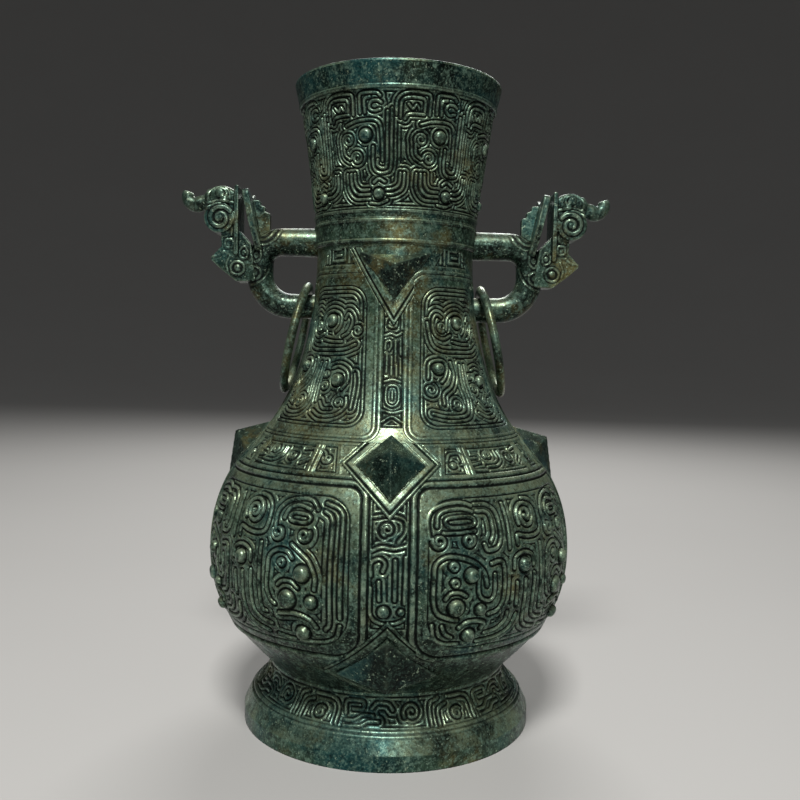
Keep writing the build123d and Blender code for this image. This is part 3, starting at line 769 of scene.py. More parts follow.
@dataclass
class Meridian:
    """Outline of a strip of the body from the top down, in even steps."""

    radius: Array
    level: Array
    step: float

    @classmethod
    def along(cls, sections: Sequence[Array], step: float) -> "Meridian":
        """Join sections of outline and divide them evenly.

        Args:
            sections: Rows of radius and level, from the top down; corners stay between sections.
            step: Wanted length of a step.

        Returns:
            The even outline.
        """
        line = np.vstack([smooth_path(section) for section in sections])
        run = run_along(line)
        count = int(math.ceil(run[-1] / step))
        even = np.linspace(0.0, run[-1], count + 1)
        return cls(np.interp(even, run, line[:, 0]), np.interp(even, run, line[:, 1]), run[-1] / count)

    @property
    def spread(self) -> Array:
        """Millimetres per degree at each step."""
        return self.radius * math.pi / 180.0

    def normals(self) -> tuple[Array, Array]:
        """Outward direction of the skin at each step.

        Returns:
            Its level and its upright shares.
        """
        slope, fall = np.gradient(self.radius), np.gradient(self.level)
        length = np.hypot(slope, fall)
        return -fall / length, slope / length

    def depth_of(self, level: float) -> float:
        """Distance down the outline from its top to a level."""
        return float(np.interp(-level, -self.level, self.step * np.arange(len(self.level))))


def store_bulge(mesh: bpy.types.Mesh, bulge: Array) -> None:
    """Store where a mesh would be rubbed and lit by a painted highlight, and where dirt and painted shade
    would lie.

    Args:
        mesh: The mesh.
        bulge: How far each point bulges, as a share of what counts as fully rubbed.
    """
    # Raised places are stored for rubbing and a painted highlight, hollows for dirt and painted shade.
    for name, values in (("wear_and_highlight", bulge), ("cavity", -bulge)):
        layer = mesh.attributes.new(name, "FLOAT", "POINT")
        layer.data.foreach_set("value", np.clip(values, 0.0, 1.0).astype(np.float32).ravel())


def make_mesh(name: str, points: Array, faces: Array) -> Piece:
    """Make a smooth mesh object from arrays.

    Args:
        name: Name of the piece.
        points: Places in millimetres, one per row.
        faces: Corner numbers of four-sided faces, one face per row.

    Returns:
        The new object, linked to the scene.
    """
    mesh = bpy.data.meshes.new(name)
    mesh.vertices.add(len(points))
    mesh.vertices.foreach_set("co", (points * MM).astype(np.float32).ravel())
    mesh.loops.add(faces.size)
    mesh.loops.foreach_set("vertex_index", faces.astype(np.int32).ravel())
    mesh.polygons.add(len(faces))
    mesh.polygons.foreach_set("loop_start", np.arange(0, faces.size, 4, dtype=np.int32))
    mesh.update(calc_edges=True)
    mesh.shade_smooth()
    piece = bpy.data.objects.new(name, mesh)
    bpy.context.scene.collection.objects.link(piece)
    return piece


def ring_faces(rows: int, columns: int) -> Array:
    """Faces between neighbouring closed rings of points.

    Args:
        rows: Number of rings.
        columns: Number of points in a ring.

    Returns:
        Corner numbers, one face per row.
    """
    corner = np.arange(rows * columns).reshape(rows, columns)
    ahead = np.roll(corner, -1, axis=1)
    return np.stack([corner[:-1], ahead[:-1], ahead[1:], corner[1:]], axis=-1).reshape(-1, 4)


def settle(piece: Piece, body: str, slot: str, nodes: Sequence[str]) -> None:
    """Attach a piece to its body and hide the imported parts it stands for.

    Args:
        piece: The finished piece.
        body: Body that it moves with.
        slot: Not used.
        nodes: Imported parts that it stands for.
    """
    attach(piece, body)
    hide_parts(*nodes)
    LOG.info("piece %s: %d faces", piece.name, len(piece.data.polygons))


class Graph:
    """Short way to write a shader graph."""

    def __init__(self, name: str) -> None:
        """Start an empty material.

        Args:
            name: Name of the material.
        """
        self.material = bpy.data.materials.new(name)
        self.material.use_nodes = True
        self.tree = self.material.node_tree
        self.shader = self.tree.nodes["Principled BSDF"]
        coordinates = self.tree.nodes.new("ShaderNodeTexCoord")
        self.place = coordinates.outputs["Object"]

    def join(self, source: Socket | float | Colour, target: Socket) -> None:
        """Feed a socket from another one or with a constant.

        Args:
            source: Socket, number or colour to feed it with.
            target: Socket to feed.
        """
        if isinstance(source, Socket):
            self.tree.links.new(source, target)
        elif isinstance(source, tuple):
            target.default_value = (*source, 1.0)
        else:
            target.default_value = source

    def noise(self, size: float, detail: float, seed: float) -> Socket:
        """Cloudy pattern.

        Args:
            size: Size of its patches, in millimetres.
            detail: Number of finer layers.
            seed: Number that makes it differ from others.

        Returns:
            Socket with values round 0.5.
        """
        node = self.tree.nodes.new("ShaderNodeTexNoise")
        node.noise_dimensions = "4D"
        node.inputs["W"].default_value = seed
        node.inputs["Scale"].default_value = 1.0 / (size * MM)
        node.inputs["Detail"].default_value = detail
        node.inputs["Roughness"].default_value = 0.62
        self.tree.links.new(self.place, node.inputs["Vector"])
        return node.outputs["Fac"]

    def stretch(self, source: Socket, low: float, high: float, most: float = 1.0) -> Socket:
        """Map a range of a socket to 0 up to a share, smoothly.

        Args:
            source: Socket to map.
            low: Value that becomes 0.
            high: Value that becomes the share.
            most: The share.

        Returns:
            The mapped socket.
        """
        node = self.tree.nodes.new("ShaderNodeMapRange")
        node.interpolation_type = "SMOOTHSTEP"
        node.inputs["From Min"].default_value = low
        node.inputs["From Max"].default_value = high
        node.inputs["To Max"].default_value = most
        self.tree.links.new(source, node.inputs["Value"])
        return node.outputs["Result"]

    def calculate(self, operation: str, first: Socket | float, second: Socket | float) -> Socket:
        """Combine two numbers, kept between 0 and 1.

        Args:
            operation: Name of the calculation.
            first: First number.
            second: Second number.

        Returns:
            Socket with the result.
        """
        node = self.tree.nodes.new("ShaderNodeMath")
        node.operation = operation
        node.use_clamp = True
        self.join(first, node.inputs[0])
        self.join(second, node.inputs[1])
        return node.outputs["Value"]

    def mix(self, share: Socket, under: Socket | Colour, over: Socket | Colour) -> Socket:
        """Lay one colour over another.

        Args:
            share: How much of the upper colour shows.
            under: The lower colour.
            over: The upper colour.

        Returns:
            Socket with the mixed colour.
        """
        node = self.tree.nodes.new("ShaderNodeMix")
        node.data_type = "RGBA"
        self.tree.links.new(share, node.inputs["Factor"])
        self.join(under, node.inputs["A"])
        self.join(over, node.inputs["B"])
        return node.outputs["Result"]

    def upright(self, source: Socket) -> Socket:
        """Upright part of a direction or a place.

        Args:
            source: Socket with the direction or the place.

        Returns:
            Socket with its Z.
        """
        node = self.tree.nodes.new("ShaderNodeSeparateXYZ")
        self.tree.links.new(source, node.inputs["Vector"])
        return node.outputs["Z"]

    def height(self) -> Socket:
        """Level over the ground, in metres."""
        return self.upright(self.place)

    def facing_up(self) -> Socket:
        """How far the surface faces up, from -1 to 1."""
        surface = self.tree.nodes.new("ShaderNodeNewGeometry")
        return self.upright(surface.outputs["Normal"])

    def stored(self, name: str) -> Socket:
        """Number stored at the points of a mesh.

        Args:
            name: Name under which it is stored.

        Returns:
            Socket with the number, or 0 where there is none.
        """
        node = self.tree.nodes.new("ShaderNodeAttribute")
        node.attribute_name = name
        return node.outputs["Fac"]


def linear(red: int, green: int, blue: int) -> Colour:
    """Screen colour from 0 to 255 as the linear colour that shaders use."""
    shares = [value / 255.0 for value in (red, green, blue)]
    return tuple(s / 12.92 if s < 0.04045 else ((s + 0.055) / 1.055) ** 2.4 for s in shares)


@dataclass(frozen=True)
class PatinaFinish:
    """Bronze under a grown patina.

    Its colours are named for where they show: deep in the recesses, partly dirt and partly painted shade, and
    as painted shade on surfaces that face down, dark and green in the clouds of the skin, teal and ochre in
    patches of a given share, dusty where it faces up, partly dust and partly painted light from above, bloom
    on fine pale grains and worn on rubbed edges, partly rubbed metal and partly a painted highlight. The
    depth of its pits is in millimetres, and its seed makes its patches differ from others.
    """

    name: str
    slot: str
    deep: Colour = linear(5, 9, 8)
    dark: Colour = linear(19, 33, 29)
    green: Colour = linear(74, 101, 81)
    teal: Colour = linear(37, 85, 85)
    ochre: Colour = linear(119, 111, 65)
    dusty_and_lit: Colour = linear(149, 160, 126)
    bloom: Colour = linear(130, 162, 142)
    worn: Colour = linear(168, 190, 162)
    teal_share: float = 0.5
    ochre_share: float = 0.45
    roughness: float = 0.34
    specular: float = 0.18
    metallic: float = 0.55
    pitting: float = 0.4
    pit_depth: float = 0.4
    seed: float = 0.0

    @property
    def material(self) -> bpy.types.Material:
        """The material of this finish, made when first asked for."""
        return bpy.data.materials.get(self.name) or self.build()

    def colour(self, graph: Graph, crust: Socket, cavity: Socket) -> Socket:
        """Lay the colours of the patina over each other, with painted shade below and in hollows, painted
        light above and painted highlights on ridges.

        Args:
            graph: Where to lay them.
            crust: Pattern of the thicker crust.
            cavity: How deep a place lies between ridges, which darkens it as dirt and painted shade.

        Returns:
            Socket with the finished colour.
        """
        height = graph.height()
        at_rim = graph.stretch(height, 0.46, 0.478, 0.1)
        at_foot = graph.stretch(height, 0.05, 0.02, 0.06)
        teal = graph.noise(60.0, 6.0, self.seed + 3.1)
        teal = graph.calculate("ADD", teal, graph.calculate("ADD", at_rim, at_foot))
        over_belly = graph.stretch(height, 0.18, 0.24, 0.1)
        under_collar = graph.stretch(height, 0.44, 0.34)
        earth = graph.noise(38.0, 6.0, self.seed + 7.7)
        earth = graph.calculate("ADD", earth, graph.calculate("MULTIPLY", over_belly, under_collar))
        grain = graph.noise(1.5, 4.0, self.seed + 1.3)
        mottle = graph.noise(5.2, 6.0, self.seed + 2.2)
        clouds = graph.noise(24.0, 6.0, self.seed)
        facing = graph.facing_up()
        # Lighter where the surface faces up: partly dust, partly painted light from above.
        dust_and_top_light = graph.stretch(facing, 0.08, 0.62, 0.75)
        dust_and_top_light = graph.calculate("MULTIPLY", dust_and_top_light, graph.stretch(clouds, 0.32, 0.6))
        skin = graph.mix(graph.stretch(clouds, 0.36, 0.64), self.dark, self.green)
        skin = graph.mix(dust_and_top_light, skin, self.dusty_and_lit)
        layers = (
            # Painted shade: surfaces that face down darken towards the deep colour.
            (facing, 0.12, -0.25, 0.76, self.deep),
            (teal, 0.6 - 0.2 * self.teal_share, 0.68, 0.8, self.teal),
            (earth, 0.65 - 0.2 * self.ochre_share, 0.74, 0.66, self.ochre),
            (crust, 0.48, 0.68, 0.6, self.deep),
            (mottle, 0.5, 0.66, 0.48, self.bloom),
            (grain, 0.5, 0.66, 0.46, self.bloom),
            (grain, 0.48, 0.32, 0.7, self.deep),
            (graph.noise(2.2, 2.0, self.seed + 4.4), 0.61, 0.7, 0.7, self.worn),
        )
        for pattern, low, high, most, over in layers:
            skin = graph.mix(graph.stretch(pattern, low, high, most), skin, over)
        # Hollows darken to the deep colour: partly dirt, partly painted shade.
        skin = graph.mix(cavity, skin, self.deep)
        # Raised edges lighten to the worn colour: partly rubbed metal, partly a painted highlight.
        rubbed_and_highlight = graph.calculate("MULTIPLY", graph.stored("wear_and_highlight"), graph.stretch(crust, 0.62, 0.36, 0.42))
        return graph.mix(rubbed_and_highlight, skin, self.worn)

    def build(self) -> bpy.types.Material:
        """Make the material.

        Returns:
            The material, ready for a piece.
        """
        graph = Graph(self.name)
        sockets = graph.shader.inputs
        crust = graph.noise(6.0, 5.0, self.seed + 5.9)
        # Hollows, which take dirt and painted shade in the colour and more roughness.
        cavity = graph.stretch(graph.stored("cavity"), 0.04, 0.85, 0.94)
        graph.join(self.colour(graph, crust, cavity), sockets["Base Color"])
        shine = graph.calculate("ADD", graph.stretch(crust, 0.3, 0.7, 0.24), self.roughness - 0.12)
        shine = graph.calculate("ADD", shine, graph.stretch(cavity, 0.0, 1.0, 0.3))
        graph.join(shine, sockets["Roughness"])
        sockets["Specular IOR Level"].default_value = self.specular
        sockets["Metallic"].default_value = self.metallic
        bump = graph.tree.nodes.new("ShaderNodeBump")
        bump.inputs["Strength"].default_value = self.pitting
        bump.inputs["Distance"].default_value = self.pit_depth * MM
        graph.join(graph.noise(2.6, 5.0, self.seed + 9.4), bump.inputs["Height"])
        graph.join(bump.outputs["Normal"], sockets["Normal"])
        return graph.material


@dataclass
class RoundSkin:
    """Shared way to build a strip of the round body in pieces from a relief sheet.

    Attributes:
        sizes: Places on the body.
        step: Distance between the points of the skin.
        bold: How much wider than drawn the lines of the figures are.
        lift: How much higher than drawn they are.
        surround: How far round a place its bulge is measured.
        sharp: Bulge that counts as fully rubbed.
        map_margin: Bare edge of the map, as a share of its side.
    """

    sizes: BodySizes
    step: float = 0.65
    bold: float = 1.0
    lift: float = 0.0
    surround: float = 1.7
    sharp: float = 0.6
    map_margin: float = 0.01

    def blank(self, meridian: Meridian, start: float, period: float, top: float = 0.0) -> ReliefSheet:
        """Blank sheet for an outline, from a first angle and a first place down the outline."""
        return ReliefSheet(start, period, top, meridian.step, meridian.spread, self.bold, self.lift)

    def pieces(
        self, name: str, meridian: Meridian, inner: Array,
        sheets: Sequence[ReliefSheet], repeats: int, turned: float, shares: int = 1,
    ) -> list[Piece]:
        """Build pieces of wall, side by side round the axis.

        Args:
            name: Start of the piece names.
            meridian: Outline of the outside.
            inner: Rows of radius and level of the inside, from the bottom up.
            sheets: Relief of each span.
            repeats: How often a sheet repeats before the next one follows.
            turned: Angle of the first column of the first piece.
            shares: Number of pieces that the span of a sheet is cut into.

        Returns:
            The pieces in order.
        """
        made = []
        for number, sheet in enumerate(sheets):
            span = sheet.period * repeats
            heights = np.tile(sheet.height, (1, repeats + 1))
            bulge = np.tile(sheet.height - sheet.softened(self.surround), (1, repeats + 1))
            count = len(sheet.angles) * repeats
            cuts = np.linspace(0, count, shares + 1).astype(int)
            for share, (first, last) in enumerate(zip(cuts[:-1], cuts[1:])):
                columns = np.arange(first, last + 1)
                angles = np.radians(columns * span / count + turned + span * number)
                label = f"{name}_{number * shares + share + 1}"
                made.append(self.wall(label, meridian, inner, heights[:, columns], bulge[:, columns], angles))
        return made

    def wall(
        self, name: str, meridian: Meridian, inner: Array,
        heights: Array, bulge: Array, angles: Array,
    ) -> Piece:
        """Build one piece of wall, with its relief outside and plain inside.

        Args:
            name: Name of the piece.
            meridian: Outline of the outside.
            inner: Rows of radius and level of the inside, from the bottom up.
            heights: Relief on each row and column of the outside.
            bulge: How far each place stands over those around it.
            angles: Angle of each column.

        Returns:
            The piece.
        """
        out, up = meridian.normals()
        lining = np.ones((len(inner), len(angles)))
        reach = np.vstack([meridian.radius[:, None] + out[:, None] * heights, inner[:, :1] * lining])
        level = np.vstack([meridian.level[:, None] + up[:, None] * heights, inner[:, 1:] * lining])
        points = np.stack([reach * np.sin(angles), -reach * np.cos(angles), level], axis=-1).reshape(-1, 3)
        rows, columns = reach.shape
        corner = np.arange(rows * columns).reshape(rows, columns)
        below = np.roll(corner, -1, axis=0)
        faces = np.stack([corner[:, :-1], below[:, :-1], below[:, 1:], corner[:, 1:]], axis=-1).reshape(-1, 4)
        piece = make_mesh(name, points, faces)
        store_bulge(piece.data, np.vstack([bulge, 0.0 * lining]) / self.sharp)
        piece["rows"] = rows
        self.unroll(piece, rows, columns)
        return piece

    @staticmethod
    def dress(
        made: Sequence[Piece], finish: PatinaFinish, lining: PatinaFinish,
        outer_rows: int, nodes: Sequence[str],
    ) -> None:
        """Give the outside and the inside of wall pieces their finishes.

        Args:
            made: Pieces of one strip.
            finish: Finish of the outside.
            lining: Finish of the inside.
            outer_rows: Number of rows of points on the outside.
            nodes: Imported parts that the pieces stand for.
        """
        for piece in made:
            piece.data.materials.append(finish.material)
            piece.data.materials.append(lining.material)
            faces = len(piece.data.polygons)
            row = np.arange(faces) // (faces // piece["rows"])
            piece.data.polygons.foreach_set("material_index", (row >= outer_rows).astype(np.int32))
            settle(piece, VESSEL, finish.slot, nodes)

    def unroll(self, piece: Piece, rows: int, columns: int) -> None:
        """Lay the faces of a strip out flat as its map.

        Args:
            piece: The piece.
            rows: Number of rows of points.
            columns: Number of columns of points.
        """
        layer = piece.data.uv_layers.new(name=BAKE_MAP)
        row, column = np.meshgrid(np.arange(rows), np.arange(columns - 1), indexing="ij")
        left, right = column / (columns - 1), (column + 1) / (columns - 1)
        upper, lower = 1.0 - row / rows, 1.0 - (row + 1) / rows
        places = np.stack([left, upper, left, lower, right, lower, right, upper], axis=-1)
        places = self.map_margin + (1.0 - 2.0 * self.map_margin) * places
        layer.data.foreach_set("uv", places.astype(np.float32).ravel())


def kite_margin(across: Array, down: Array, half: float, above: float, below: float) -> Array:
    """Distance outside a kite that stands on its point.

    Args:
        across: Distance from its upright middle line.
        down: Distance below its side corners.
        half: Half its width.
        above: Height of its upper half.
        below: Height of its lower half.

    Returns:
        Distance to its edge, below 0 inside.
    """
    length = np.where(down < 0, above, below)
    beyond = across / half + np.abs(down) / length - 1.0
    return beyond * half * length / np.hypot(half, length)


@dataclass(frozen=True)
class BossFrame:
    """Flat band and narrow line round a faceted boss."""

    crown: float
    ground: float = -1.0
    covered: float = 1.0
    band_half: float = 2.6
    band_slope: float = 0.6
    line_place: float = 7.2
    line_half: float = 1.4
    line_slope: float = 0.7
    reach: float = 8.8

    def lay(self, sheet: ReliefSheet, margin: Array) -> None:
        """Lay the frame over whatever was drawn there.

        Args:
            sheet: Where to lay it.
            margin: Distance outside the boss.
        """
        band = flat_topped(margin - self.band_half, self.band_half, self.band_slope)
        line = flat_topped(margin - self.line_place, self.line_half, self.line_slope)
        framed = self.ground + (self.crown - self.ground) * np.maximum(band, line)
        framed = np.where(margin < self.covered, 0.0, framed)
        sheet.height = np.where(margin < self.reach, framed, sheet.height)


@dataclass
class RegisterSkin(RoundSkin):
    """Strip of the body with one register of repeated units.

    Attributes:
        unit: Angle of one unit.
        units: Number of units in a piece.
        field_top: Where the register starts down the outline.
        field_bottom: Where it ends.
        sunk: How it is sunk and filled.
        lines: Ridges along it.
    """

    unit: float = EIGHTH
    units: int = 1
    field_top: float = 0.0
    field_bottom: float = 0.0
    sunk: SunkField = SunkField(-1.0, 1.0)
    lines: tuple[Lines, ...] = ()

    def relief(self, meridian: Meridian, start: float, strokes: Sequence[Stroke]) -> ReliefSheet:
        """Draw one unit.

        Args:
            meridian: Outline of the strip.
            start: Angle at which the unit starts.
            strokes: Its figures.

        Returns:
            The finished sheet.
        """
        sheet = self.blank(meridian, start, self.unit)
        inset = np.minimum(sheet.down - self.field_top, self.field_bottom - sheet.down)
        sheet.engrave(inset, self.sunk, strokes)
        for lines in self.lines:
            lines.lay(sheet, sheet.down)
        return sheet


@dataclass
class MouthCollar(RegisterSkin):
    """Flared collar with eight ornament units under a plain rim.

    Attributes:
        inner_rows: The inside follows every so many rows of the outside.
        under_rim: How far below the rim these rows end.
    """

    step: float = 0.44
    bold: float = 0.95
    lift: float = 0.15
    units: int = 2
    field_top: float = 21.6
    field_bottom: float = 105.6
    sunk: SunkField = SunkField(-1.2, 0.9, 2.6, -0.05, 0.6)
    lines: tuple[Lines, ...] = (Lines((20.0,), 1.4, 0.7), Lines((105.8,), 1.2, 0.6))
    inner_rows: int = 5
    under_rim: float = 3.0

    def build(self, finish: PatinaFinish, lining: PatinaFinish) -> list[Piece]:
        """Build the collar in four pieces.

        Args:
            finish: Finish of the outside.
            lining: Finish of the inside.

        Returns:
            The pieces.
        """
        low, high = (corner.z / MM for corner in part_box("mouth_collar"))
        rim_level = high - self.sizes.rim_height
        curve = bare_outline("mouth_collar", low, rim_level, np.arange(0.0, self.unit, self.unit / 10))
        meridian = Meridian.along([skin_points("mouth_collar", rim_level, high), curve], self.step)
        inner = [
            (radius - self.sizes.wall, level)
            for radius, level in curve[:: -self.inner_rows]
            if level < rim_level - self.under_rim
        ]
        inner += [(self.sizes.mouth_radius, high - self.sizes.mouth_depth), (self.sizes.mouth_radius, high)]
        sheet = self.relief(meridian, -self.unit, COLLAR_UNIT)
        sheets = [sheet] * round(360.0 / (self.unit * self.units))
        made = self.pieces("mouth_collar_skin", meridian, np.array(inner), sheets, self.units, -self.unit)
        self.dress(made, finish, lining, len(meridian.radius), ["mouth_collar"])
        return made


def neck_sections(sizes: BodySizes) -> tuple[Array, Array, Array]:
    """Outline of the neck, cut where its skin meets that of the belly.

    Args:
        sizes: Places on the body.

    Returns:
        The strap, the sweep above the seam and the sweep below it, each from the top down.
    """
    low, high = (corner.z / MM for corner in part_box("neck_shell"))
    strap_level = high - sizes.strap_height
    strap = skin_points("neck_shell", strap_level, high)
    sweep = smooth_path(bare_outline("neck_shell", low, strap_level, STRAP_BEARINGS))
    run = run_along(sweep[::-1])[::-1]
    seam = np.array([[np.interp(sizes.seam, run[::-1], sweep[::-1, axis]) for axis in (0, 1)]])
    return strap, np.vstack([sweep[run > sizes.seam], seam]), np.vstack([seam, sweep[run < sizes.seam]])


def inside_of(outline: Array, wall: float, count: int = 24) -> Array:
    """Inside of a wall at a few levels.

    Args:
        outline: Rows of radius and level of the outside, from the top down.
        wall: Thickness of the wall.
        count: About how many levels to keep.

    Returns:
        Rows of radius and level, from the bottom up.
    """
    picked = outline[:: max(1, len(outline) // count)]
    return np.vstack([picked, outline[-1:]])[::-1] - (wall, 0.0)


@dataclass
class PanelledSkin(RoundSkin):
    """Strip of the body with framed panels between upright straps.

    Attributes:
        start: Angle from a strap at which the pieces of skin meet.
        frame_left: Where a panel frame starts beside a strap.
        frame_top: Where it starts down the outline.
        frame_bottom: Where it ends.
        frame_corners: Radius of its upper and of its lower corners.
        band: Width of the plain band inside the frame.
        field_corners: Radius of the corners of the sunk field inside that band.
        strap_half: Half width of the ornament on an upright strap.
        strap_top: Where that ornament starts down the outline.
    """

    start: float = 0.0
    frame_left: float = 0.0
    frame_top: float = 0.0
    frame_bottom: float = 0.0
    frame_corners: Point = (0.0, 0.0)
    band: float = 0.0
    field_corners: Point = (0.0, 0.0)
    strap_half: float = 0.0
    strap_top: float = 0.0

    def inset(self, sheet: ReliefSheet, inward: float, corners: Point) -> Array:
        """Distance inside the frame of a panel, or inside a smaller shape within it.

        Args:
            sheet: Sheet to measure on.
            inward: How far the shape lies inside the frame.
            corners: Radius of its upper and of its lower corners.

        Returns:
            Distance to the nearest edge, below 0 outside.
        """
        beside = sheet.across - (self.frame_left + inward)
        below = sheet.down - (self.frame_top + inward)
        above = self.frame_bottom - inward - sheet.down
        inset = np.full(beside.shape, FAR)
        for from_edge, radius in zip((below, above), corners):
            in_corner = (beside < radius) & (from_edge < radius)
            round_part = radius - np.hypot(radius - beside, radius - from_edge)
            inset = np.minimum(inset, np.where(in_corner, round_part, np.minimum(beside, from_edge)))
        return inset

    def draw_strap(
        self, sheet: ReliefSheet, sunk: SunkField, strokes: Sequence[Stroke], bottom: float
    ) -> None:
        """Draw the ornament of the upright straps on both sides of a panel.

        Args:
            sheet: Where to draw.
            sunk: How the ornament is sunk and filled.
            strokes: Its figures.
            bottom: Where it ends down the outline.
        """
        lengthwise = np.minimum(sheet.down - self.strap_top, bottom - sheet.down)
        inset = np.minimum(self.strap_half - sheet.across, lengthwise)
        sheet.engrave(inset, sunk, strokes, (QUARTER, 0.0))

    def relief(self, meridian: Meridian, kind: StrapKind) -> ReliefSheet:
        """Draw one panel and one strap; each strip has its own way."""
        raise NotImplementedError

    def round_pieces(self, name: str, meridian: Meridian, outline: Array) -> list[Piece]:
        """Build the four panels and straps in eight pieces.

        Args:
            name: Start of the piece names.
            meridian: Outline of the outside.
            outline: The same outline as measured.

        Returns:
            The pieces.
        """
        inner = inside_of(outline, self.sizes.wall)
        sheets = [self.relief(meridian, kind) for kind in StrapKind]
        return self.pieces(name, meridian, inner, sheets * 2, 1, self.start - QUARTER, 2)


def round_middle(sheet: ReliefSheet, margin: Array) -> Array:
    """Keep a distance only round the strap in the middle of a sheet."""
    return np.where(np.abs(sheet.angles - QUARTER)[None, :] < EIGHTH, margin, FAR)


@dataclass
class Neck(PanelledSkin):
    """Waisted neck with a plain strap, framed panels and upright straps.

    Attributes:
        strap_end: How far above the bottom of the frames the ornament of an upright strap ends.
        panel: How a panel is sunk and filled.
        strap: How the ornament of an upright strap is sunk and filled.
        meander: How the sloping field under the plain strap is sunk.
        frame_lines: The two lines of a frame.
        strap_lines: The lines at the top and the bottom of the plain strap.
        meander_gap: How far from a faceted boss the sloping field starts.
        meander_rows: Where that field starts and ends down the outline.
        boss: Half width, top and point of the faceted boss where it meets the skin.
        boss_edge: Height of the boss over its side corners.
        boss_frame: Frame round that boss.
        under_strap: How far below the plain strap that frame starts.
        root_radius: Radius of the smooth skin round the root of a handle arm.
        root_ease: Width of the slope round that skin.
        root_level: Level of that root.
    """

    step: float = 0.46
    bold: float = 0.92
    lift: float = 0.15
    start: float = 13.2
    frame_left: float = 7.8
    frame_top: float = 38.6
    frame_bottom: float = 169.4
    frame_corners: Point = (17.0, 14.0)
    band: float = 11.4
    field_corners: Point = (15.0, 15.0)
    strap_half: float = 7.6
    strap_top: float = 67.0
    strap_end: float = 13.0
    panel: SunkField = SunkField(-1.3, 0.9, 3.0, -0.05, 0.62, 0.6)
    strap: SunkField = SunkField(-1.1, 0.9, 2.6, -0.1, 0.7)
    meander: SunkField = SunkField(-0.9, 0.8)
    frame_lines: Lines = Lines((1.4, 4.8), 1.3, 0.5)
    strap_lines: Lines = Lines((2.4, BodySizes.strap_height - 1.4), 1.1, 0.6)
    meander_gap: float = 11.0
    meander_rows: Point = (21.6, 36.0)
    boss: Place = (24.5, 23.6, 64.0)
    boss_edge: float = 1.0
    boss_frame: BossFrame = BossFrame(0.4)
    under_strap: float = 0.6
    root_radius: float = 13.0
    root_ease: float = 2.0
    root_level: float = 321.0

    def relief(self, meridian: Meridian, kind: StrapKind) -> ReliefSheet:
        """Draw one panel and one strap.

        Args:
            meridian: Outline of the neck.
            kind: What the strap carries.

        Returns:
            The finished sheet.
        """
        sheet = self.blank(meridian, self.start, QUARTER)
        sheet.engrave(self.inset(sheet, self.band, self.field_corners), self.panel, NECK_PANEL)
        self.draw_strap(sheet, self.strap, NECK_STRAP, self.frame_bottom - self.strap_end)
        self.frame_lines.lay(sheet, self.inset(sheet, 0.0, self.frame_corners))
        self.strap_lines.lay(sheet, sheet.down)
        self.upper_field(sheet, kind)
        if kind is StrapKind.HANDLE:
            beside = (sheet.angles - QUARTER)[None, :] * sheet.spread[:, None]
            spot = np.hypot(beside, sheet.down - meridian.depth_of(self.root_level))
            sheet.height *= smooth_step((spot - self.root_radius) / self.root_ease)
        return sheet

    def upper_field(self, sheet: ReliefSheet, kind: StrapKind) -> None:
        """Draw the meander field under the plain strap and the frame of the faceted boss.

        Args:
            sheet: Where to draw.
            kind: What the strap of this sheet carries.
        """
        half, top, point = self.boss
        down = sheet.down
        margin = kite_margin(sheet.across, down - top, half, self.boss_edge, point - top)
        margin = np.maximum(margin, top - self.boss_edge - down)
        first, last = self.meander_rows
        inset = np.minimum(margin - self.meander_gap, np.minimum(down - first, last - down))
        sheet.engrave(inset, self.meander, NECK_MEANDER)
        if kind is StrapKind.FACETED:
            below_strap = np.where(down > self.sizes.strap_height + self.under_strap, margin, FAR)
            self.boss_frame.lay(sheet, round_middle(sheet, below_strap))

    def build(self, finish: PatinaFinish, lining: PatinaFinish) -> list[Piece]:
        """Build the neck in eight pieces.

        Args:
            finish: Finish of the outside.
            lining: Finish of the inside.

        Returns:
            The pieces.
        """
        strap, sweep, _ = neck_sections(self.sizes)
        meridian = Meridian.along([strap, sweep], self.step)
        made = self.round_pieces("neck_skin", meridian, np.vstack([strap[:1], sweep]))
        self.dress(made, finish, lining, len(meridian.radius), ["neck_shell"])
        return made


